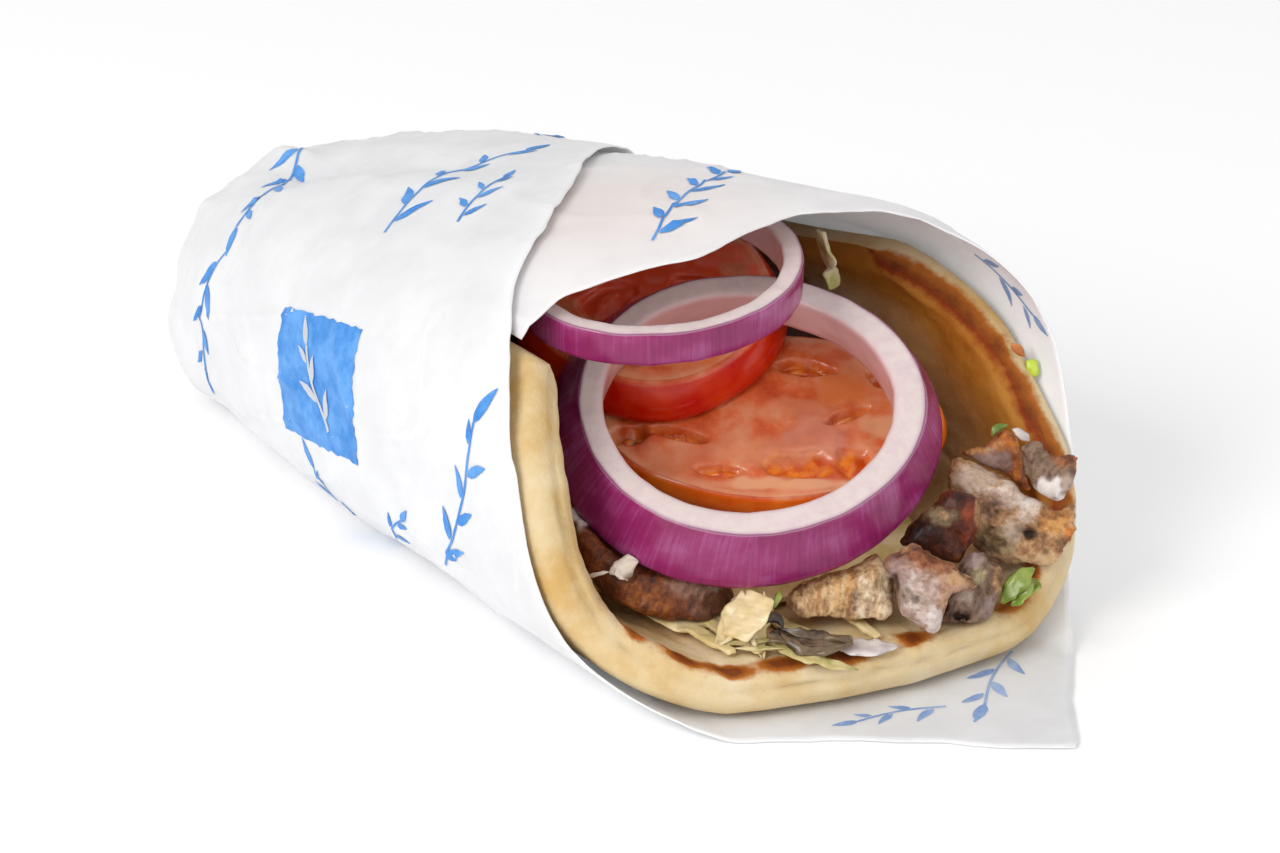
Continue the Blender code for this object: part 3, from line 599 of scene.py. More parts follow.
    def length(self, y: float) -> float:
        """Return the length round the roll at y."""
        return float(np.interp(y, self.ys, self.around))


ROLL = Roll()

# The right wall opens out toward the mouth: middle share, half width, and the places along y where it ends.
FLARE_SHARE, FLARE_WIDE = 0.69, 0.06
FLARE_FADES = (-46.0, 6.0)


class Cloud:
    """Smooth random field for whole arrays; it repeats after a whole number of cells along its first axis."""

    def __init__(self, seed: int, cells: int = 64) -> None:
        """Fill the lattice."""
        self.grid = np.random.RandomState(seed).uniform(-1.0, 1.0, (cells, 64))

    def __call__(self, u: np.ndarray, v: np.ndarray) -> np.ndarray:
        """Return values between -1 and 1 at places given in cells."""
        i, j = np.floor(u).astype(int), np.floor(v).astype(int)
        a, b = u - i, v - j
        a, b = a ** 3 * (a * (a * 6 - 15) + 10), b ** 3 * (b * (b * 6 - 15) + 10)
        n, m = self.grid.shape
        low = self.grid[i % n, j % m] * (1 - b) + self.grid[i % n, (j + 1) % m] * b
        high = self.grid[(i + 1) % n, j % m] * (1 - b) + self.grid[(i + 1) % n, (j + 1) % m] * b
        return low * (1 - a) + high * a


def grid_faces(rows: int, columns: int, first: int = 0, closed: bool = False) -> np.ndarray:
    """Return the quads between the rows of a grid of vertices.

    Args:
        rows: loops of vertices, one after the other.
        columns: vertices in each loop.
        first: number of the first vertex.
        closed: whether each loop's end meets its start.

    Returns:
        Four vertex numbers for each face.
    """
    number = np.arange(rows * columns).reshape(rows, columns) + first
    right = np.roll(number, -1, 1)
    quads = np.stack([number[:-1], right[:-1], right[1:], number[1:]], -1)
    return quads[:, :columns if closed else columns - 1].reshape(-1, 4)


def rise(low: float, high: float, at: Any) -> Any:
    """Return 0 below low, 1 above high and a smooth rise between, for numbers or arrays."""
    t = np.clip((np.asarray(at, float) - low) / (high - low), 0.0, 1.0)
    return t * t * (3 - 2 * t)


def flare(share: np.ndarray, y: np.ndarray) -> np.ndarray:
    """Return how much of its flare the right wall has at places of the roll, from 0 to 1."""
    return np.exp(-((share - FLARE_SHARE) / FLARE_WIDE) ** 2) * (1.0 - rise(*FLARE_FADES, y))


def knots(table: Sequence[tuple[float, float]], at: Any) -> Any:
    """Return a knot table's value at one or more places."""
    return np.interp(at, [row[0] for row in table], [row[1] for row in table])


def deselect() -> None:
    """Deselect every object and make none active."""
    for obj in bpy.context.scene.objects:
        obj.select_set(False)
    bpy.context.view_layer.objects.active = None


def pick(obj: bpy.types.Object) -> None:
    """Make one object the only selected and the active one."""
    deselect()
    obj.select_set(True)
    bpy.context.view_layer.objects.active = obj


def apply(obj: bpy.types.Object, kind: str, **settings: Any) -> None:
    """Add a modifier with its settings and apply it."""
    mod = obj.modifiers.new(kind.lower(), kind)
    for key, value in settings.items():
        setattr(mod, key, value)
    pick(obj)
    bpy.ops.object.modifier_apply(modifier=mod.name)


def smooth(obj: bpy.types.Object, angle: float | None = None) -> None:
    """Shade an object smooth, all over or below an angle in degrees."""
    pick(obj)
    if angle is None:
        bpy.ops.object.shade_smooth()
    else:
        bpy.ops.object.shade_smooth_by_angle(angle=math.radians(angle))


def mesh_object(name: str, points: np.ndarray, faces: Sequence[Sequence[int]]) -> bpy.types.Object:
    """Make an object from points in millimetres and faces, with its normals outwards.

    Args:
        name: name of the piece.
        points: one row of three per vertex.
        faces: vertex numbers of each face.

    Returns:
        The new object, linked to the scene.
    """
    mesh = bpy.data.meshes.new(name)
    mesh.from_pydata((np.asarray(points, float) * MM).tolist(), [], [tuple(int(i) for i in f) for f in faces])
    obj = bpy.data.objects.new(name, mesh)
    bpy.context.scene.collection.objects.link(obj)
    return obj


def outwards(obj: bpy.types.Object) -> None:
    """Turn all faces of a closed mesh outwards."""
    pick(obj)
    bpy.ops.object.mode_set(mode="EDIT")
    bpy.ops.mesh.select_all(action="SELECT")
    bpy.ops.mesh.normals_make_consistent(inside=False)
    bpy.ops.object.mode_set(mode="OBJECT")


def note(obj: bpy.types.Object, name: str, values: np.ndarray) -> None:
    """Write one number per vertex as a named attribute."""
    layer = obj.data.attributes.get(name) or obj.data.attributes.new(name, "FLOAT", "POINT")
    layer.data.foreach_set("value", np.asarray(values, np.float32).ravel())


def note_colour(obj: bpy.types.Object, name: str, values: np.ndarray) -> None:
    """Write one linear colour per vertex as a named attribute."""
    layer = obj.data.attributes.new(name, "FLOAT_COLOR", "POINT")
    opaque = np.concatenate([values, np.ones((len(values), 1))], 1)
    layer.data.foreach_set("color", opaque.astype(np.float32).ravel())


def uv_from_points(obj: bpy.types.Object, name: str, values: np.ndarray) -> None:
    """Write a UV map in metres from one pair of millimetre values per vertex."""
    layer = obj.data.uv_layers.new(name=name)
    corner = np.zeros(len(obj.data.loops), np.int32)
    obj.data.loops.foreach_get("vertex_index", corner)
    layer.data.foreach_set("uv", (np.asarray(values)[corner] * MM).astype(np.float32).ravel())


def coordinates(obj: bpy.types.Object) -> np.ndarray:
    """Return an object's vertices in millimetres."""
    co = np.zeros(len(obj.data.vertices) * 3, np.float32)
    obj.data.vertices.foreach_get("co", co)
    return co.reshape(-1, 3).astype(float) / MM


def move_to(obj: bpy.types.Object, points: np.ndarray) -> None:
    """Set an object's vertices from millimetres."""
    obj.data.vertices.foreach_set("co", (points * MM).astype(np.float32).ravel())
    obj.data.update()


def from_solid(node: str, name: str) -> bpy.types.Object:
    """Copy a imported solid's mesh into a piece of its own, with its doubles merged."""
    mesh = frame["nodes"][node].data.copy()
    mesh.name = name
    mesh.materials.clear()
    obj = bpy.data.objects.new(name, mesh)
    bpy.context.scene.collection.objects.link(obj)
    bm = bmesh.new()
    bm.from_mesh(mesh)
    bmesh.ops.remove_doubles(bm, verts=bm.verts, dist=1e-6)
    bm.to_mesh(mesh)
    bm.free()
    mesh.attributes.new("made", "FLOAT", "POINT")
    return obj


def settle(obj: bpy.types.Object, finish: Finish, slot: str, *nodes: str) -> bpy.types.Object:
    """Dress a piece, let it ride on the body and hide the solids that it stands for.

    Args:
        obj: finished piece.
        finish: its material's finish.
        slot: the record's material slot, not used.
        nodes: solids that it replaces.

    Returns:
        The same piece.
    """
    obj.data.materials.clear()
    obj.data.materials.append(MATERIALS.get(finish))
    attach(obj, BODY)
    if nodes:
        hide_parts(*nodes)
    LOG.info("%s: %d faces", obj.name, len(obj.data.polygons))
    return obj


class Materials:
    """Materials made so far, one per finish."""

    def __init__(self) -> None:
        """Start empty."""
        self.made: dict[Finish, bpy.types.Material] = {}

    def get(self, finish: Finish) -> bpy.types.Material:
        """Return a finish's material, made at its first use."""
        if finish not in self.made:
            self.made[finish] = finish.build()
        return self.made[finish]


MATERIALS = Materials()


@dataclass
class PaperSheet:
    """The sheet round the pita: inner flap over the top, under the roll, and the outer flap over it again."""

    thickness: float = 0.28
    start: float = 0.35
    end: float = 1.80
    columns: int = 310
    rows: int = 146
    under: float = 1.5
    tail_under: float = 2.2
    flare: float = 5.5
    front: tuple = (
        (0.35, -33.0), (0.385, -32.0), (0.41, -35.0), (0.43, -37.0), (0.464, -40.0), (0.50, -38.0),
        (0.551, -34.5), (0.60, -35.0), (0.64, -39.0), (0.67, -44.0), (0.692, -52.0), (0.727, -59.0),
        (0.768, -66.5), (0.80, -70.0), (0.825, -73.0), (0.845, -78.0), (0.876, -87.0), (0.925, -99.6),
        (0.962, -112.5), (0.989, -106.0), (1.01, -99.5), (1.05, -91.0), (1.082, -86.0), (1.125, -79.0),
        (1.15, -70.0), (1.175, -61.0), (1.20, -55.0), (1.235, -50.7), (1.28, -47.0), (1.318, -40.0),
        (1.337, -35.2), (1.368, -26.0), (1.395, -19.3), (1.423, -12.9), (1.475, 0.0), (1.523, 14.0),
        (1.58, 27.0), (1.65, 40.0), (1.72, 52.0), (1.80, 62.0),
    )
    rear: tuple = ((0.35, 52.0), (0.60, 70.0), (0.70, 82.0), (0.775, 94.0), (0.80, 98.0), (0.825, 102.0),
                   (0.85, 105.0), (1.80, 105.0))
    # Local folds: share, y, width round the roll, length along it, height.
    DENTS: ClassVar[tuple] = (
        (0.445, 83.0, 5.0, 7.0, 2.6), (0.425, 70.0, 7.0, 7.0, -2.0), (0.452, 62.0, 6.0, 9.0, -1.5),
        (0.49, 57.0, 6.0, 8.0, 1.0), (0.47, 40.0, 6.0, 16.0, -1.2), (0.36, 92.0, 5.0, 9.0, 1.6),
        (0.27, 92.0, 5.0, 8.0, -1.2), (0.60, 88.0, 6.0, 9.0, 1.6), (0.70, 84.0, 7.0, 8.0, -1.4),
        (0.82, 80.0, 6.0, 10.0, 1.0), (0.16, 84.0, 6.0, 10.0, 1.0), (0.53, 92.0, 5.0, 8.0, -1.4),
    )
    # A greasy patch over the small ring: share, y and their half widths.
    GREASE: ClassVar[tuple] = (0.47, -8.0, 0.09, 26.0)
    GREASE_DEEP: ClassVar[float] = 0.9
    # Creases of three sizes and the sharp ridges: height, cells round the roll, length along it.
    SWELLS: ClassVar[tuple] = (0.75, 9, 30.0)
    FOLDS: ClassVar[tuple] = (0.26, 26, 11.0)
    RIDGES: ClassVar[tuple] = (0.60, 26, 23.0)
    CRUMPLES: ClassVar[tuple] = (0.08, 60, 4.5)
    RIDGE_SHARP: ClassVar[int] = 7
    # The underside is pressed flat: how calm it is, and over what share of the roll.
    PRESSED: ClassVar[tuple] = (0.75, 0.10)
    TORN: ClassVar[float] = 0.35
    CLEAR: ClassVar[float] = 0.02
    AROUND: ClassVar[float] = 300.0
    wide: Cloud = field(default_factory=lambda: Cloud(3, 9))
    middle: Cloud = field(default_factory=lambda: Cloud(5, 26))
    small: Cloud = field(default_factory=lambda: Cloud(7, 60))

    def inset(self, share: np.ndarray, y: np.ndarray) -> np.ndarray:
        """Return how deep the outer face lies before its creases."""
        deep = self.under + self.tail_under * rise(84.0, 98.0, y)
        under = deep * (1.0 - rise(0.80, 0.90, share)) * (1.0 - rise(99.5, 103.5, y))
        return under - self.flare * flare(share, y)

    def creases(self, share: np.ndarray, y: np.ndarray) -> np.ndarray:
        """Return how far the creased sheet stands out of the even roll."""
        turn = share % 1.0
        high, cells, long = self.SWELLS
        soft = high * self.wide(turn * cells, y / long)
        high, cells, long = self.FOLDS
        soft = soft + high * self.middle(turn * cells, y / long + 3.0)
        high, cells, long = self.RIDGES
        ridged = 1.0 - np.abs(self.middle(turn * cells + y / 40.0, y / long - turn * 6.0))
        soft = soft + high * (ridged ** self.RIDGE_SHARP)
        high, cells, long = self.CRUMPLES
        soft = soft + high * self.small(turn * cells, y / long)
        for share_at, y_at, wide, long, high in self.DENTS:
            far = ((turn - share_at) * self.AROUND / wide) ** 2 + ((y - y_at) / long) ** 2
            soft = soft + high * np.exp(-far)
        calm, wide = self.PRESSED
        calm = 1.0 - calm * np.exp(-((turn - np.round(turn)) / wide) ** 2)
        return soft * calm

    def surface(self, share: np.ndarray, y: np.ndarray, lift: float = 0.0) -> np.ndarray:
        """Return points of the creased outer face, moved outwards by lift."""
        share, y = np.asarray(share, float), np.asarray(y, float)
        spot = ROLL.at(share, y, self.inset(share, y) - self.creases(share, y) - lift)
        foot = self.CLEAR if lift >= 0 else self.thickness
        spot[..., 2] = np.maximum(spot[..., 2], foot)
        return spot

    def build(self) -> bpy.types.Object:
        """Make the sheet with its two faces and its rim."""
        share = np.linspace(self.start, self.end, self.columns + 1)
        t = np.linspace(0.0, 1.0, self.rows + 1)
        t = 0.45 * t + 0.55 * (1.0 - (1.0 - t) ** 1.7)
        low, high = knots(self.front, share), knots(self.rear, share)
        low = low + self.TORN * Cloud(11)(share * 90, share * 0 + 0.5)
        grid_s = np.repeat(share[:, None], self.rows + 1, 1)
        grid_y = low[:, None] + (high - low)[:, None] * t[None, :]
        outer = self.surface(grid_s, grid_y)
        deep = self.inset(grid_s, grid_y) - self.creases(grid_s, grid_y) + self.thickness
        inner = ROLL.at(grid_s, grid_y, deep)
        inner[..., 2] = np.maximum(inner[..., 2], self.CLEAR + self.thickness)
        size = (self.columns + 1) * (self.rows + 1)
        points = np.concatenate([outer.reshape(-1, 3), inner.reshape(-1, 3)])
        number = np.arange(size).reshape(self.columns + 1, self.rows + 1)
        a, b, c, d = number[:-1, :-1], number[1:, :-1], number[1:, 1:], number[:-1, 1:]
        sides = np.stack([a, b, c, d], -1).reshape(-1, 4)
        faces = np.concatenate([sides[:, ::-1], sides + size])
        border = np.concatenate([number[:, 0], number[-1, 1:], number[-2::-1, -1], number[0, -2:0:-1]])
        after = np.roll(border, -1)
        faces = np.concatenate([faces, np.stack([border, after, after + size, border + size], -1)])
        obj = mesh_object("paper_sheet", points, faces)
        outwards(obj)
        at, y_at, wide, long = self.GREASE
        round_it, along = np.exp(-((grid_s - at) / wide) ** 2), np.exp(-((grid_y - y_at) / long) ** 2)
        damp = self.GREASE_DEEP * round_it * along
        note(obj, "damp", np.concatenate([damp.ravel(), np.zeros(size)]))
        smooth(obj)
        return obj


@dataclass
class TailTuck:
    """The sheet's end, crumpled together and pushed into the tail."""

    centre: tuple[float, float, float] = (-8.0, 99.4, 15.0)
    radii: tuple[float, float, float] = (15.5, 4.4, 11.5)
    folds: int = 11
    deep: float = 0.09
    rough: float = 0.03
    SIDES: ClassVar[tuple[int, int]] = (88, 44)

    def build(self) -> bpy.types.Object:
        """Make the wad from a round ball pressed flat and folded."""
        deselect()
        segments, rings = self.SIDES
        bpy.ops.mesh.primitive_uv_sphere_add(segments=segments, ring_count=rings, radius=1.0)
        obj = bpy.context.active_object
        obj.name = "paper_tail_tuck"
        cloud = Cloud(61)
        for vert in obj.data.vertices:
            x, y, z = vert.co
            turn = math.atan2(z, x)
            fold = 1.0 - self.deep * abs(math.sin(self.folds * turn / 2 + 1.4 * y)) * math.hypot(x, z)
            rough = self.rough * float(cloud(np.array(turn * 6 + 40.0), np.array(y * 4 + 8.0)))
            spot = zip(self.centre, self.radii, (x, y, z))
            vert.co = [(middle + reach * way * (fold + rough)) * MM for middle, reach, way in spot]
        smooth(obj)
        return obj


@dataclass
class BlueBorder:
    """The print on the sheet: sprigs of brush strokes along thin stems, and filled fields."""

    paper: PaperSheet
    lift: float = 0.10
    ink: float = 0.04
    step: float = 0.9
    laid: int = 0
    points: list = field(default_factory=list)
    faces: list = field(default_factory=list)
    # Strokes that cross lie on levels of their own.
    LEVEL: ClassVar[float] = 0.016
    LEVELS: ClassVar[int] = 6
    # A leaf's pitch on the stem and its width, and the last leaf's length and width, as shares of its length.
    PITCH: ClassVar[float] = 0.62
    LEAF_WIDE: ClassVar[float] = 0.27
    LAST: ClassVar[tuple[float, float]] = (0.8, 0.24)
    # A filled field: cells along a side, how far its edge strays, and its seed.
    CELLS: ClassVar[int] = 26
    STRAY: ClassVar[tuple[float, float]] = (-0.35, 0.25)
    FIELD_SEED: ClassVar[int] = 17

    def stroke(self, line: np.ndarray, width: float, around: float, lift: float, leaf: bool,
               seed: int) -> None:
        """Lay one brush stroke on the sheet.

        Args:
            line: middle line in millimetres round and along the roll.
            width: widest part.
            around: length round the roll there.
            lift: height over the sheet, negative for its inner face.
            leaf: whether both ends run to a point.
            seed: start of its random edge.
        """
        rng = np.random.RandomState(seed)
        lift += math.copysign(self.LEVEL * (self.laid % self.LEVELS), lift)
        self.laid += 1
        run = np.concatenate([[0.0], np.cumsum(np.hypot(*np.diff(line, axis=0).T))])
        count = max(4, int(run[-1] / self.step))
        first = len(self.points)
        for i in range(count + 1):
            t = i / count
            spot = np.array([np.interp(t * run[-1], run, line[:, k]) for k in (0, 1)])
            ahead = np.array([np.interp(min(1.0, t + 0.05) * run[-1], run, line[:, k])
                              - np.interp(max(0.0, t - 0.05) * run[-1], run, line[:, k]) for k in (0, 1)])
            side = np.array([-ahead[1], ahead[0]]) / np.hypot(*ahead)
            full = 0.08 + 0.92 * math.sin(math.pi * t ** 0.75) if leaf else 0.8
            for sign in (-1, 1):
                edge = spot + side * sign * width / 2 * (full + rng.uniform(-0.10, 0.10))
                self.points.append((edge[0] / around, edge[1], lift))
        self.faces += grid_faces(count + 1, 2, first).tolist()

    def sprig(self, start: tuple[float, float], end: tuple[float, float], leaf: float, bow: float, seed: int,
              lift: float | None = None, stem: float = 0.55) -> None:
        """Lay a bent stem with leaves on both sides and one at its tip.

        Args:
            start: arc share and y of the stem's foot.
            end: arc share and y of its tip.
            leaf: length of a leaf.
            bow: how far the stem bends sideways.
            seed: start of its random layout.
            lift: height over the sheet.
            stem: width of the stem.
        """
        lift = self.lift if lift is None else lift
        around = ROLL.length((start[1] + end[1]) / 2)
        a, b = np.array([start[0] * around, start[1]]), np.array([end[0] * around, end[1]])
        span = b - a
        length = float(np.hypot(*span))
        way = span / length
        side = np.array([-way[1], way[0]])
        t = np.linspace(0.0, 1.0, 21)
        line = a + span * t[:, None] + side * (bow * np.sin(math.pi * t))[:, None]
        self.stroke(line, stem, around, lift, False, seed)
        rng = np.random.RandomState(seed + 400)
        count = max(2, round(length / (leaf * self.PITCH)))
        for i in range(count):
            at = (i + 0.6) / (count + 0.4)
            root = np.array([np.interp(at, t, line[:, k]) for k in (0, 1)])
            sign = 1 if i % 2 else -1
            open_ = rng.uniform(0.75, 1.05)
            size = leaf * rng.uniform(0.8, 1.1) * (1.0 - 0.35 * at)
            tip = root + (way * 0.75 + side * sign * 0.62 * open_) * size
            base = root + side * sign * 0.5
            middle = (base + tip) / 2 + way * 0.10 * size
            blade = np.array([base, middle, tip])
            self.stroke(blade, size * self.LEAF_WIDE, around, lift, True, seed + 11 * i)
        long, wide = self.LAST
        last = np.array([line[-1], line[-1] + way * leaf * long])
        self.stroke(last, leaf * wide, around, lift, True, seed + 3)

    def field(self, middle: tuple[float, float], size: tuple[float, float], turn: float, lift: float) -> None:
        """Lay a filled four sided field with rough edges."""
        around = ROLL.length(middle[1])
        rng = np.random.RandomState(self.FIELD_SEED)
        last = self.CELLS
        first = len(self.points)
        c, s = math.cos(turn), math.sin(turn)
        for i in range(last + 1):
            for j in range(last + 1):
                x, y = (i / last - 0.5) * size[0], (j / last - 0.5) * size[1]
                if i in (0, last):
                    x += rng.uniform(*self.STRAY)
                if j in (0, last):
                    y += rng.uniform(*self.STRAY)
                self.points.append((middle[0] + (x * c - y * s) / around, middle[1] + x * s + y * c, lift))
        self.faces += grid_faces(last + 1, last + 1, first).tolist()

    def make(self, name: str) -> bpy.types.Object:
        """Turn the strokes laid so far into one thin piece and start afresh."""
        rows = np.array(self.points)
        share, y, lift = rows[:, 0], rows[:, 1], rows[:, 2]
        spots = np.empty((len(rows), 3))
        for value in np.unique(lift):
            level = lift == value
            spots[level] = self.paper.surface(share[level], y[level], float(value))
        if (lift < 0).any():
            spots[:, 2] = np.maximum(spots[:, 2], self.paper.thickness + 0.08)
        obj = mesh_object(name, spots, self.faces)
        apply(obj, "SOLIDIFY", thickness=self.ink * MM, offset=0.0)
        outwards(obj)
        self.points, self.faces = [], []
        return obj


@dataclass
class Pita:
    """The folded bread: one thick sheet with a rounded double rim."""

    thickness: float = 8.1
    start: float = 0.675
    end: float = 1.35
    columns: int = 190
    rows: int = 62
    rim: int = 14
    paper: float = 0.8
    gap: float = 0.45
    under: float = 1.5
    flare: float = 4.4
    around: float = 330.0
    front: tuple = (
        (0.675, -20.0), (0.685, -26.0), (0.70, -34.0), (0.717, -46.0), (0.744, -59.0), (0.762, -68.0),
        (0.785, -73.0), (0.822, -77.2), (0.87, -81.5), (0.915, -84.5), (0.99, -84.5), (1.04, -82.0),
        (1.084, -78.5), (1.12, -74.5), (1.15, -69.0), (1.175, -63.0), (1.20, -58.0), (1.235, -53.5),
        (1.28, -49.5), (1.318, -42.5), (1.35, -36.0),
    )
    rear: tuple = ((0.675, 40.0), (0.72, 66.0), (0.80, 80.0), (0.92, 88.0), (1.10, 88.0), (1.22, 80.0),
                   (1.29, 64.0), (1.35, 48.0))
    # Browned places along the lip: share and half width.
    TOASTED: ClassVar[tuple] = (
        (1.175, 0.013), (1.138, 0.011), (1.108, 0.015), (1.070, 0.012), (1.033, 0.015), (0.985, 0.009),
        (0.900, 0.016), (0.868, 0.013),
    )
    # The seam between the two layers at the rim: depth, place on the rim's half turn and width.
    SEAM: ClassVar[tuple[float, float, float]] = (0.9, 1.75, 0.16)
    # Bumps and pores of the skin: height, cells over the whole roll, length along it.
    BUMPS: ClassVar[tuple[float, int, float]] = (0.45, 40, 8.0)
    PORES: ClassVar[tuple[float, int, float]] = (0.2, 120, 3.0)
    PRESSED: ClassVar[float] = 0.15
    OUTSIDE: ClassVar[float] = -12.0
    FAR_WALL: ClassVar[tuple[float, float]] = (0.79, 0.85)
    BROWN_AT: ClassVar[float] = -0.8
    BROWN_DEEPER: ClassVar[float] = 5.0
    BROWN_WIDE: ClassVar[float] = 2.0
    lumps: Cloud = field(default_factory=lambda: Cloud(21))
    dents: Cloud = field(default_factory=lambda: Cloud(23))

    def inset(self, share: np.ndarray, y: np.ndarray) -> np.ndarray:
        """Return how deep the outer face lies; the right wall flares out toward the mouth."""
        doubled = 1.0 - rise(0.84, 0.94, share) + rise(1.27, 1.33, share)
        return self.paper + self.gap + self.under * doubled - self.flare * flare(share, y)

    def build(self) -> bpy.types.Object:
        """Make the bread as one closed skin: outer face, front rim, inner face, rear rim."""
        share = np.linspace(self.start, self.end, self.columns + 1)
        low, high = knots(self.front, share), knots(self.rear, share)
        half = self.thickness / 2
        low = low + half
        t = np.linspace(0.0, 1.0, self.rows + 1) ** 1.6
        edge = np.clip(np.minimum(share - self.start, self.end - share) * self.around / half, 0.0, 1.0)
        thin = half * (np.sqrt(1.0 - (1.0 - edge) ** 2) * 0.98 + 0.02)
        loops = []
        for k in range(self.rows, -1, -1):
            y = low + (high - low) * t[k]
            loops.append((y, self.inset(share, y) + half - thin, -1.0, self.OUTSIDE + 0.0 * share))
        deep, at, wide = self.SEAM
        for k in range(1, self.rim):
            turn = math.pi * k / self.rim
            groove = deep * math.exp(-((turn - at) / wide) ** 2)
            torn = 0.8 + 0.6 * self.dents(share * 70, share * 0 + 4.5)
            reach = half * math.sin(turn) ** 0.8 - groove * torn
            depth = -math.cos(turn)
            back = (turn - math.pi) * half + 0.0 * share
            loops.append((low - reach, self.inset(share, low) + half + thin * depth, depth, back))
        for k in range(self.rows + 1):
            y = low + (high - low) * t[k]
            loops.append((y, self.inset(share, y) + half + thin, 1.0, y - low))
        points = []
        for y, inset, face, _ in loops:
            high, cells, long = self.BUMPS
            bump = high * self.lumps(share * cells + face * 7, y / long + face * 3)
            high, cells, long = self.PORES
            bump = bump + high * self.dents(share * cells, y / long)
            keep = (self.PRESSED if face < -0.5 else 1.0) * math.copysign(1.0, -face) * thin / half
            points.append(ROLL.at(share, y, inset - bump * keep))
        grid = np.array(points)
        count, width = grid.shape[:2]
        number = np.arange(count * width).reshape(count, width)
        after = np.roll(number, -1, 0)
        faces = np.stack([number[:, :-1], number[:, 1:], after[:, 1:], after[:, :-1]], -1)
        faces = faces.reshape(-1, 4).tolist()
        faces += [tuple(number[:, 0]), tuple(number[::-1, -1])]
        obj = mesh_object("pita_bread", grid.reshape(-1, 3), faces)
        outwards(obj)
        self.brown(obj, share, np.array([back for *_, back in loops]))
        smooth(obj)
        return obj

    def brown(self, obj: bpy.types.Object, share: np.ndarray, back: np.ndarray) -> None:
        """Note where the bread is toasted, and where its inner face is darkened: partly the crumb's own golden
        brown, partly painted shade inside the mouth.

        Args:
            obj: the bread.
            share: arc share of each column.
            back: how far each vertex lies behind the start of the inner face.
        """
        zero = 0.0 * share
        far_wall = 1.0 - rise(*self.FAR_WALL, share)
        middle = self.BROWN_AT - self.BROWN_DEEPER * far_wall - 0.5 * self.dents(share * 60, zero + 9.5)
        near = np.exp(-((back - middle) / (self.BROWN_WIDE + 0.7 * far_wall)) ** 2)
        spots = 0.28 + sum(np.exp(-((share - at) / wide) ** 2) for at, wide in self.TOASTED)
        wall = 0.92 + 0.2 * self.dents(share * 30, zero + 6.5)
        note(obj, "toast", near * (far_wall * wall + (1.0 - far_wall) * spots))
        # Painted shade inside the mouth over the crumb's own brown: on the far wall strongest near the rim and
        # halved deeper in, on the side walls growing deeper into the mouth.
        browned_and_shaded = rise(-6.4, -4.2, back) * (1.0 - 0.5 * rise(6.0, 34.0, back))
        note(obj, "inside", browned_and_shaded * far_wall + (1.0 - far_wall) * 0.4 * rise(3.0, 14.0, back))


class Stack:
    """The leaning plane that the large ring and the slices share."""

    TURN = math.radians(-34.0)
    TILT = 26.0
    AT = np.array([1.8, -41.8, 32.0])

    @staticmethod
    def axes(tilt: float) -> tuple[np.ndarray, np.ndarray, np.ndarray]:
        """Return the ways to the mouth, to -X and up, for a tilt in degrees."""
        tilt = math.radians(tilt)
        level = Vector((math.sin(Stack.TURN), -math.cos(Stack.TURN), 0.0))
        mouth = level * math.cos(tilt) - Vector((0, 0, 1)) * math.sin(tilt)
        up = level * math.sin(tilt) + Vector((0, 0, 1)) * math.cos(tilt)
        return np.array(mouth), np.array(mouth.cross(up)), np.array(up)


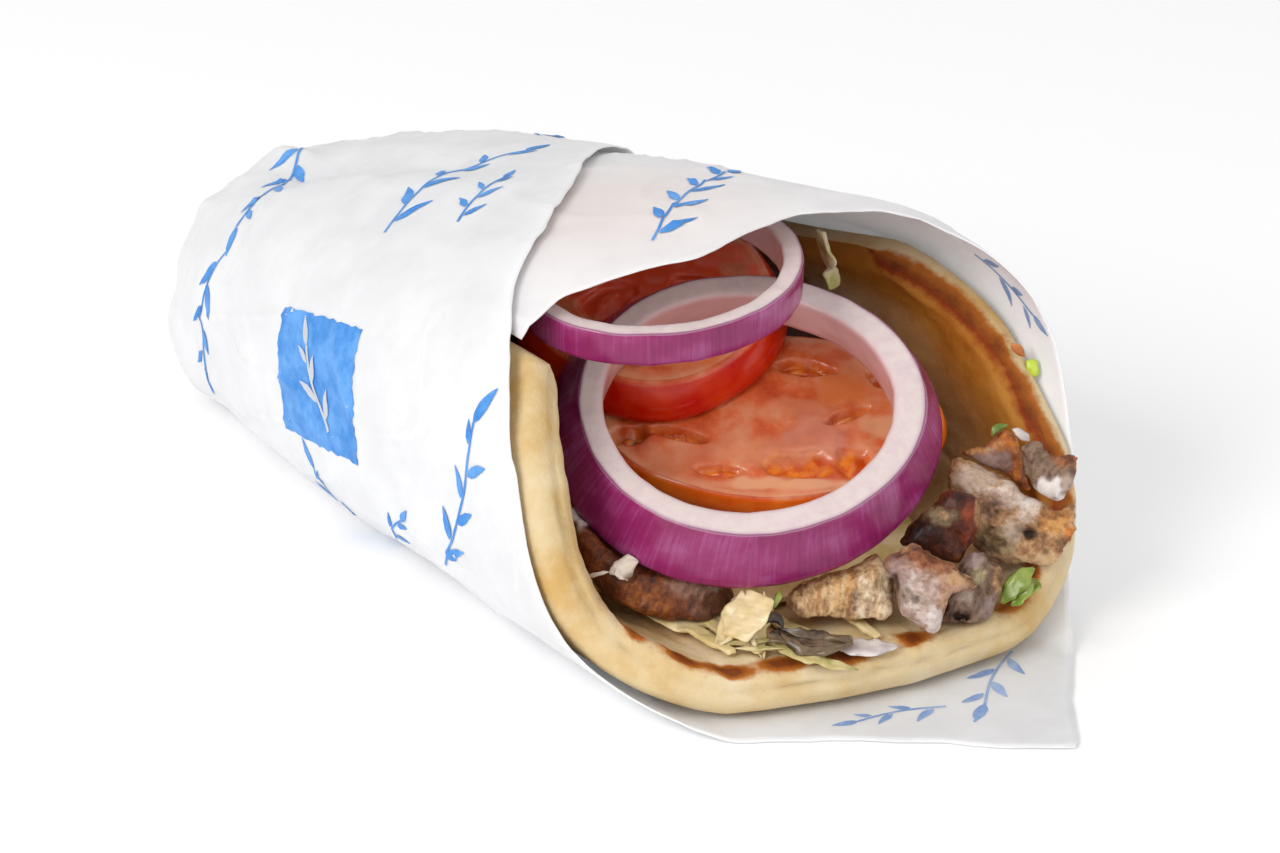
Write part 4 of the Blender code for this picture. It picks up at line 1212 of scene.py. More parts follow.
@dataclass
class OnionRing:
    """One onion ring: a loop of a section with a skin side, two cut faces and an inner wall.

    A section row is radius, shift to the mouth, shift to -X, share of the height, skin, edge line and inner
    wall.
    """

    name: str
    at: tuple[float, float, float]
    tilt: float
    rows: tuple
    high_front: float
    high_back: float
    shape: Callable[[np.ndarray], tuple[np.ndarray, np.ndarray]]
    arc: int = 260
    seed: int = 5
    # Longest run of a section, and how uneven the wall and the cut face are, with their cells round the ring.
    RUN: ClassVar[float] = 0.9
    WALL: ClassVar[tuple[float, int]] = (0.10, 60)
    CUT: ClassVar[tuple[float, int]] = (0.12, 36)

    def refine(self) -> np.ndarray:
        """Return the section with its long runs cut into shorter ones."""
        rows = np.array(self.rows, float)
        out = []
        for a, b in zip(rows, np.roll(rows, -1, 0)):
            span = math.hypot(a[0] - b[0], (a[3] - b[3]) * self.high_front)
            cuts = max(1, int(span / self.RUN))
            out += [a + (b - a) * k / cuts for k in range(cuts)]
        return np.array(out)

    def build(self) -> bpy.types.Object:
        """Make the ring."""
        rows = self.refine()
        mouth, side, up = Stack.axes(self.tilt)
        turn = np.linspace(0.0, 2 * np.pi, self.arc, endpoint=False)
        scale, shift = self.shape(turn)
        front = (1.0 + np.cos(turn)) / 2
        high = self.high_back + (self.high_front - self.high_back) * front
        lumps = Cloud(self.seed, self.arc)
        loops, runs, run = [], [], 0.0
        (wall, wall_cells), (cut, cut_cells) = self.WALL, self.CUT
        part = turn / (2 * np.pi)
        for k, row in enumerate(rows):
            radius = row[0] * scale + shift + wall * lumps(part * wall_cells, turn * 0 + k * 0.35)
            lift = high * row[3] + cut * lumps(part * cut_cells + 5, turn * 0 + k * 0.15)
            spot = (np.array(self.at)[None] + np.outer(row[1] + radius * np.cos(turn), mouth)
                    + np.outer(row[2] + radius * np.sin(turn), side) + np.outer(lift, up))
            loops.append(spot)
            runs.append(run)
            nxt = rows[(k + 1) % len(rows)]
            run += math.hypot(row[0] - nxt[0], (row[3] - nxt[3]) * self.high_front)
        grid = np.array(loops)
        count, width = grid.shape[:2]
        number = np.arange(count * width).reshape(count, width)
        right, down = np.roll(number, -1, 1), np.roll(number, -1, 0)
        faces = np.stack([number, right, np.roll(right, -1, 0), down], -1).reshape(-1, 4)
        obj = mesh_object(self.name, grid.reshape(-1, 3), faces)
        outwards(obj)
        for i, layer in ((4, "skin"), (5, "edge"), (6, "inner")):
            note(obj, layer, np.repeat(rows[:, i], width))
        around = np.tile(turn * float(rows[:, 0].mean()), count)
        uv_from_points(obj, "wall", np.stack([around, np.repeat(np.array(runs), width)], 1))
        smooth(obj)
        return obj


def large_ring() -> OnionRing:
    """Return the large ring's sizes."""
    rows = (
        (32.4, -0.9, 1.4, 0.0, 0.0, 0.6, 0.0), (33.0, -0.9, 1.4, 0.03, 1.0, 0.0, 0.0),
        (33.3, -0.9, 1.4, 0.12, 1.0, 0.0, 0.0), (32.2, -0.7, 1.2, 0.38, 1.0, 0.0, 0.0),
        (30.8, -0.5, 0.9, 0.66, 1.0, 0.0, 0.0), (29.6, -0.3, 0.5, 0.90, 1.0, 0.0, 0.0),
        (29.25, -0.2, 0.3, 0.965, 1.0, 0.0, 0.0), (29.05, -0.2, 0.3, 0.99, 0.0, 1.0, 0.0),
        (28.75, -0.2, 0.3, 1.0, 0.0, 0.25, 0.0), (28.3, -0.2, 0.4, 1.0, 0.0, 0.0, 0.0),
        (25.4, -0.5, 0.9, 1.0, 0.0, 0.0, 0.0), (24.7, -0.5, 0.9, 0.985, 0.0, 0.0, 0.3),
        (24.35, -0.5, 0.9, 0.93, 0.0, 0.0, 1.0), (24.6, -0.5, 0.95, 0.45, 0.0, 0.0, 1.0),
        (25.0, -0.5, 1.0, 0.05, 0.0, 0.0, 1.0), (25.5, -0.5, 1.0, 0.0, 0.0, 0.0, 0.2),
    )

    def shape(turn: np.ndarray) -> tuple[np.ndarray, np.ndarray]:
        """Return the ring's slight triangle form as a factor, with no shift."""
        return 1.0 + 0.012 * np.sin(3 * turn + 0.6), np.zeros_like(turn)

    return OnionRing("onion_large", tuple(Stack.AT), Stack.TILT, rows, 10.5, 8.0, shape)


def small_ring() -> OnionRing:
    """Return the small ring's sizes."""
    outer, inner = 26.6, 23.0
    flattened, bent = 5.8, 0.4
    rows = tuple((radius, 0.0, 0.0, *rest) for radius, *rest in (
        (outer - 0.5, 0.0, 0.0, 0.6, 0.0), (outer - 0.1, 0.05, 1.0, 0.0, 0.0),
        (outer, 0.14, 1.0, 0.0, 0.0), (outer, 0.86, 1.0, 0.0, 0.0),
        (outer - 0.12, 0.95, 1.0, 0.0, 0.0), (outer - 0.35, 0.985, 0.0, 1.0, 0.0),
        (outer - 0.65, 1.0, 0.0, 0.2, 0.0), (outer - 1.0, 1.0, 0.0, 0.0, 0.0),
        (inner + 0.5, 1.0, 0.0, 0.0, 0.0), (inner + 0.1, 0.96, 0.0, 0.0, 0.5),
        (inner, 0.9, 0.0, 0.0, 1.0), (inner, 0.1, 0.0, 0.0, 1.0), (inner + 0.4, 0.0, 0.0, 0.0, 0.3),
    ))

    def shape(turn: np.ndarray) -> tuple[np.ndarray, np.ndarray]:
        """Return no factor, and a shift that flattens the ring on its left side."""
        flat = flattened * np.maximum(0.0, np.cos(turn - math.radians(100.0))) ** 2
        return np.ones_like(turn), bent * np.sin(2 * turn) - flat

    return OnionRing("onion_small", (-6.4, -22.2, 54.2), 6.0, rows, 6.0, 6.0, shape, seed=8)


@dataclass
class TomatoSlice:
    """One tomato slice in the stack's plane, with hollows of gel in its cut face."""

    name: str
    centre: tuple[float, float, float]
    foot: tuple[float, float]
    top: tuple[float, float]
    thickness: float
    wave: float
    pockets: tuple = ()
    hazes: tuple = ()
    arc: int = 220
    rings: int = 56
    seed: int = 31
    # The side from the cut face down: share of the radius, drop as a share of the thickness, skin.
    SIDE: ClassVar[tuple] = (
        (0.955, 0.0, 0.0), (0.97, -0.02, 0.0), (0.985, -0.05, 0.3), (0.995, -0.11, 1.0), (1.0, -0.2, 1.0),
        (1.012, -0.38, 1.0), (1.015, -0.55, 1.0), (1.008, -0.75, 1.0), (0.99, -0.9, 1.0), (0.965, -0.97, 0.6),
        (0.94, -1.0, 0.0),
    )
    UNDERSIDE: ClassVar[tuple] = (0.8, 0.6, 0.4, 0.2)
    # Unevenness of the cut face: height and length of the waves and of the grain.
    WAVES: ClassVar[tuple[float, float]] = (0.25, 5.0)
    GRAIN: ClassVar[tuple[float, float]] = (0.12, 1.8)
    # A pocket's rim and its raised middle, as shares of the pocket.
    RIM: ClassVar[tuple[float, float]] = (0.72, 1.0)
    SEEDS: ClassVar[tuple[float, float]] = (0.2, 0.7)

    def build(self) -> bpy.types.Object:
        """Make the slice: cut face from the middle out, over the skin, and back to the middle below."""
        mouth, side, up = Stack.axes(Stack.TILT)
        turn = np.linspace(0.0, 2 * np.pi, self.arc, endpoint=False)
        ripple = 1.0 + self.wave * np.cos(5 * turn + 0.5)
        cloud = Cloud(self.seed)
        rows = [(k / self.rings * self.SIDE[0][0], 0.0, 0.0) for k in range(1, self.rings + 1)]
        rows += self.SIDE[1:]
        rows += [(share, -1.0, 0.0) for share in self.UNDERSIDE]
        loops, skin, gel, haze, veil = [], [], [], [], []
        for radius, drop, rind in rows:
            mix = 1.0 + drop
            reach = [self.foot[i] * (1 - mix) + self.top[i] * mix for i in (0, 1)]
            ahead, left = reach[0] * radius * np.cos(turn) * ripple, reach[1] * radius * np.sin(turn) * ripple
            lift = self.thickness * (1.0 + drop) * np.ones_like(turn)
            wet, share, tint = np.zeros_like(turn), np.zeros_like(turn), np.zeros((len(turn), 3))
            if drop == 0.0:
                lift, wet = self.hollows(ahead, left, lift, cloud)
                share, tint = self.tint(ahead, left, radius, cloud)
            loops.append(np.array(Stack.AT)[None] + np.outer(self.centre[0] + ahead, mouth)
                         + np.outer(self.centre[1] + left, side) + np.outer(self.centre[2] + lift, up))
            skin.append(np.full_like(turn, rind))
            gel.append(wet)
            haze.append(tint)
            veil.append(share)
        grid = np.array(loops)
        count, width = grid.shape[:2]
        number = np.arange(count * width).reshape(count, width)
        faces = grid_faces(count, width, closed=True).tolist()
        points = np.concatenate([grid.reshape(-1, 3), grid[0].mean(0)[None], grid[-1].mean(0)[None]])
        for k, row in ((0, number[0]), (1, number[-1])):
            faces += [(int(a), int(b), count * width + k) for a, b in zip(row, np.roll(row, -1))]
        obj = mesh_object(self.name, points, faces)
        outwards(obj)
        for layer, values in (("skin", skin), ("gel", gel), ("veil", veil)):
            flat = np.array(values).ravel()
            note(obj, layer, np.concatenate([flat, [flat[0], flat[-1]]]))
        tints = np.array(haze).reshape(-1, 3)
        note_colour(obj, "haze", np.concatenate([tints, tints[:1], tints[-1:]]))
        smooth(obj)
        return obj

    def hollows(self, ahead: np.ndarray, left: np.ndarray, lift: np.ndarray,
                cloud: Cloud) -> tuple[np.ndarray, np.ndarray]:
        """Sink the seed pockets into the cut face.

        Args:
            ahead: places of a loop toward the mouth, from the slice's middle.
            left: places of the loop toward -X.
            lift: height of the even face.
            cloud: the slice's own random field.

        Returns:
            The height with the pockets, and how much gel shows.
        """
        wet = np.zeros_like(ahead)
        (high, long), (rough, fine) = self.WAVES, self.GRAIN
        lift = lift + high * cloud(ahead / long, left / long) + rough * cloud(ahead / fine + 9, left / fine)
        for x, y, wide, long, tilt, deep in self.pockets:
            dx, dy = ahead - x, left - y
            c, s = math.cos(math.radians(tilt)), math.sin(math.radians(tilt))
            far = np.hypot((dx * c + dy * s) / wide, (-dx * s + dy * c) / long)
            far = far + 0.16 * cloud(ahead / 2.4, left / 2.4 + 5)
            mask = 1.0 - rise(*self.RIM, far)
            lift = lift - deep * mask + 0.5 * deep * (1.0 - rise(*self.SEEDS, far))
            wet = np.maximum(wet, mask)
        return lift, wet

    def tint(self, ahead: np.ndarray, left: np.ndarray, radius: float,
             cloud: Cloud) -> tuple[np.ndarray, np.ndarray]:
        """Cloud the cut face with the places of other colour.

        Args:
            ahead: places of a loop toward the mouth, from the slice's middle.
            left: places of the loop toward -X.
            radius: the loop's share of the radius.
            cloud: the slice's own random field.

        Returns:
            How much the clouding covers, and its linear colour.
        """
        edge = rise(0.84, 0.95, radius + 0.03 * cloud(ahead / 3.0, left / 3.0))
        edge = edge * (1 - rise(0.96, 0.99, radius))
        share, tint = 0.7 * edge, np.tile(linear(TomatoTint.PALE.value)[:3], (len(ahead), 1))
        for x, y, wide, long, kind, strength in self.hazes:
            far = np.hypot((ahead - x) / wide, (left - y) / long) + 0.3 * cloud(ahead / 2.6 + 3, left / 2.6)
            mask = strength * (1.0 - rise(0.55, 1.15, far))
            tint = tint + (np.array(linear(kind.value)[:3]) - tint) * mask[:, None]
            share = np.maximum(share, mask)
        return share, tint


class Face:
    """The plane that the torn pieces face: right, up and out of the mouth."""

    TURN, LEAN = math.radians(-34.0), math.radians(25.0)
    RIGHT = np.array([math.cos(TURN), math.sin(TURN), 0.0])
    OUT = np.array([math.sin(TURN) * math.cos(LEAN), -math.cos(TURN) * math.cos(LEAN), math.sin(LEAN)])
    UP = np.cross(OUT, RIGHT)


@dataclass
class MeatPiece:
    """A torn piece of meat: the solid's form with fibres, pits, a ragged rim and places of other colour.

    A spot is its place right and up in the face plane, half width, half height, tone, strength and lift.
    """

    node: str
    name: str
    slot: str
    base: Tone
    spots: tuple
    fibre: tuple[float, float] = (1.0, 0.3)
    rough: float = 1.0
    cell: float = 0.42
    WET: ClassVar[tuple] = (Tone.SAUCE, Tone.FILM, Tone.LILAC)
    # Heights in mm of the broad swell, the torn lumps, the fibre grooves and the fine grain.
    SWELL, LUMP, GROOVE, GRAIN = 0.5, 0.36, 0.30, 0.14
    SMOOTHED: ClassVar[tuple[float, int]] = (0.5, 7)
    # How a spot fades toward its edge, and toward faces that look away.
    FADE: ClassVar[tuple[float, float]] = (0.62, 1.12)
    FACING: ClassVar[tuple[float, float]] = (-0.45, 0.1)

    def build(self) -> bpy.types.Object:
        """Make the piece."""
        obj = from_solid(self.node, self.name)
        apply(obj, "REMESH", mode="VOXEL", voxel_size=self.cell * MM)
        factor, times = self.SMOOTHED
        apply(obj, "SMOOTH", factor=factor, iterations=times)
        smooth(obj)
        points = coordinates(obj)
        normals = np.zeros(len(points) * 3, np.float32)
        obj.data.vertices.foreach_get("normal", normals)
        normals = normals.reshape(-1, 3).astype(float)
        flat = np.stack([points @ Face.RIGHT, points @ Face.UP, points @ Face.OUT], 1)
        way = np.array(self.fibre) / math.hypot(*self.fibre)
        along, across = flat[:, :2] @ way, flat[:, :2] @ np.array([-way[1], way[0]])
        letter = len("meat_")
        seed = float(len(self.node) * 3 + ord(self.name[letter]))

        def wave(*scaled: np.ndarray) -> np.ndarray:
            """Return smooth noise at places given by their three scaled parts."""
            return np.array([noise.noise(Vector(v)) for v in np.stack(scaled, 1)])

        broad = wave(flat[:, 0] * 0.32 + seed, flat[:, 1] * 0.32, flat[:, 2] * 0.32)
        torn = wave(flat[:, 0] * 0.85 + seed, flat[:, 1] * 0.85, flat[:, 2] * 0.6)
        lines = wave(along * 0.16 + seed, across * 1.15, flat[:, 2] * 0.8)
        tiny = wave(along * 0.9, across * 2.4 + seed, flat[:, 2] * 2.0)
        rim = 1.0 - np.abs(normals @ Face.OUT)
        tone = np.tile(np.array(linear(self.base.value)[:3]), (len(points), 1))
        wet, lift = np.zeros(len(points)), np.zeros(len(points))
        facing = rise(*self.FACING, normals @ Face.OUT)
        for u, v, wide, high, kind, strength, raised in self.spots:
            far = np.hypot((flat[:, 0] - u) / wide, (flat[:, 1] - v) / high) + 0.42 * torn + 0.16 * lines
            mask = strength * (1.0 - rise(*self.FADE, far)) * facing
            tone += (np.array(linear(kind.value)[:3]) - tone) * mask[:, None]
            soft = mask * (1.0 if kind in self.WET else 0.0)
            wet += (soft - wet) * np.maximum(mask, soft)
            lift += raised * mask
        dry = self.rough * (1.0 - 0.75 * wet)
        rough = self.LUMP * torn * (0.5 + rim) - self.GROOVE * np.abs(lines) + self.GRAIN * tiny
        shape = self.SWELL * broad + dry * rough
        move_to(obj, points + normals * (shape + lift)[:, None])
        note(obj, "fibre", np.clip(0.5 + 0.5 * lines + 0.5 * tiny, 0.0, 1.0))
        note(obj, "sauce", np.clip(wet, 0.0, 1.0))
        note_colour(obj, "tone", tone)
        return obj


@dataclass
class Ribbon:
    """Thin strips of leaf, onion or sauce: each a bent closed band along a path.

    A band is its path, its width, thickness, ruffle and a turn about the path in degrees.
    """

    name: str
    bands: tuple
    seed: int = 3
    ragged: float = 0.4
    STEP: ClassVar[float] = 0.55
    AROUND: ClassVar[int] = 14

    def build(self) -> bpy.types.Object:
        """Make all bands as one piece."""
        points, faces = [], []
        for k, (path, width, thick, ruffle, turn) in enumerate(self.bands):
            line, turn = np.array(path, float), math.radians(turn)
            self.band(points, faces, line, width, thick, ruffle, turn, self.seed + k)
        obj = mesh_object(self.name, np.array(points), faces)
        outwards(obj)
        smooth(obj)
        return obj

    def band(self, points: list, faces: list, path: np.ndarray, width: float, thick: float, ruffle: float,
             turn: float, seed: int) -> None:
        """Add one band: a smooth path, a lens section and ragged sides.

        Args:
            points: points of the piece so far.
            faces: faces of the piece so far.
            path: its middle line.
            width: full width.
            thick: full thickness.
            ruffle: how far its sides wave.
            turn: turn about the path, in radians.
            seed: start of its random edge.
        """
        rng = np.random.RandomState(seed)
        run = np.concatenate([[0.0], np.cumsum(np.linalg.norm(np.diff(path, axis=0), axis=1))])
        count, around = max(8, int(run[-1] / self.STEP)), self.AROUND
        at = np.linspace(0.0, run[-1], count + 1)
        line = np.stack([np.interp(at, run, path[:, i]) for i in range(3)], 1)
        for _ in range(3):
            line[1:-1] = (line[:-2] + 2 * line[1:-1] + line[2:]) / 4
        ragged, waves = Cloud(seed), Cloud(seed + 50)
        first = len(points)
        phase = rng.uniform(0.0, 30.0)
        for i, spot in enumerate(line):
            ahead = line[min(i + 1, count)] - line[max(i - 1, 0)]
            ahead = Vector(ahead).normalized()
            flat = ahead.cross(Vector((0, 0, 1)))
            flat = (flat if flat.length > 0.2 else Vector((1, 0, 0))).normalized()
            flat.rotate(Matrix.Rotation(turn, 3, ahead))
            up = np.array(flat.cross(ahead).normalized())
            flat = np.array(flat)
            t = i / count
            body = min(1.0, 3.0 * t + 0.12, 3.0 * (1 - t) + 0.12)
            for j in range(around):
                angle = 2 * math.pi * j / around
                side, face = math.cos(angle), math.sin(angle)
                rough = ragged(np.array(t * run[-1] / 1.3 + phase), np.array(2.5 + side * 3))
                edge = 1.0 + self.ragged * float(rough)
                bow = ruffle * float(waves(np.array(t * run[-1] / 2.2 + phase), np.array(side * 1.4 + 5.0)))
                reach = width / 2 * body * edge * side
                points.append(spot + flat * reach + up * (bow + thick / 2 * face * min(1.0, body + 0.3)))
        faces += grid_faces(count + 1, around, first, True).tolist()
        faces.append(tuple(first + j for j in range(around)))
        faces.append(tuple(first + count * around + j for j in range(around - 1, -1, -1)))


@dataclass
class Leaf:
    """A leaf or the bed of shreds, softened from its solid."""

    node: str
    name: str
    levels: int = 2
    ruffle: float = 0.25

    def build(self) -> bpy.types.Object:
        """Make the leaf."""
        obj = from_solid(self.node, self.name)
        apply(obj, "SUBSURF", levels=self.levels, render_levels=self.levels)
        points = coordinates(obj)
        shift = np.array([noise.noise_vector(Vector(p) * 0.45) for p in points])
        move_to(obj, points + shift * self.ruffle)
        smooth(obj)
        return obj


class Studio:
    """Camera, floor and lights."""

    LENS, SENSOR = 120.09, 36.0
    AZIMUTH, ELEVATION = math.radians(-34.0), math.radians(25.0)
    PLACE = (-0.378909, -0.572555, 0.338251)
    ROOM = 0.77
    AIM = (0.0, -0.02, 0.02)
    # Soft lights: name, place, width and power.
    LIGHTS = (("key", (-1.0, -0.22, 0.74), 0.6, 8.2), ("fill", (0.2, -1.05, 0.7), 0.9, 2.0))
    FLOOR_SIZE, FLOOR_DROP = 8.0, 0.0002

    def build(self) -> None:
        """Set up the whole studio."""
        self.camera()
        self.floor()
        self.lights()

    def camera(self) -> None:
        """Put the camera at the photograph's place."""
        data = bpy.data.cameras.new("camera")
        data.lens, data.sensor_width = self.LENS, self.SENSOR
        data.clip_start, data.clip_end = 0.01, 20.0
        cam = bpy.data.objects.new("camera", data)
        cam.location = self.PLACE
        back = Vector((math.sin(self.AZIMUTH) * math.cos(self.ELEVATION),
                       -math.cos(self.AZIMUTH) * math.cos(self.ELEVATION), math.sin(self.ELEVATION)))
        cam.rotation_euler = back.to_track_quat("Z", "Y").to_euler()
        bpy.context.scene.collection.objects.link(cam)
        bpy.context.scene.camera = cam

    def floor(self) -> None:
        """Lay the plain pale floor."""
        deselect()
        bpy.ops.mesh.primitive_plane_add(size=self.FLOOR_SIZE, location=(0.0, 0.0, -self.FLOOR_DROP))
        plane = bpy.context.active_object
        plane.name = "floor"
        plane.data.materials.append(MATERIALS.get(StudioFloor()))

    def lights(self) -> None:
        """Hang one large soft light over the left shoulder and let the room fill the rest."""
        world = bpy.data.worlds.new("room")
        world.use_nodes = True
        sky = world.node_tree.nodes["Background"]
        sky.inputs["Color"].default_value = (1.0, 1.0, 1.0, 1.0)
        sky.inputs["Strength"].default_value = self.ROOM
        bpy.context.scene.world = world
        bpy.context.scene.view_settings.view_transform = "Standard"
        for name, place, size, power in self.LIGHTS:
            data = bpy.data.lights.new(name, "AREA")
            data.size, data.energy = size, power
            lamp = bpy.data.objects.new(name, data)
            lamp.location = place
            lamp.rotation_euler = (Vector(place) - Vector(self.AIM)).to_track_quat("Z", "Y").to_euler()
            bpy.context.scene.collection.objects.link(lamp)


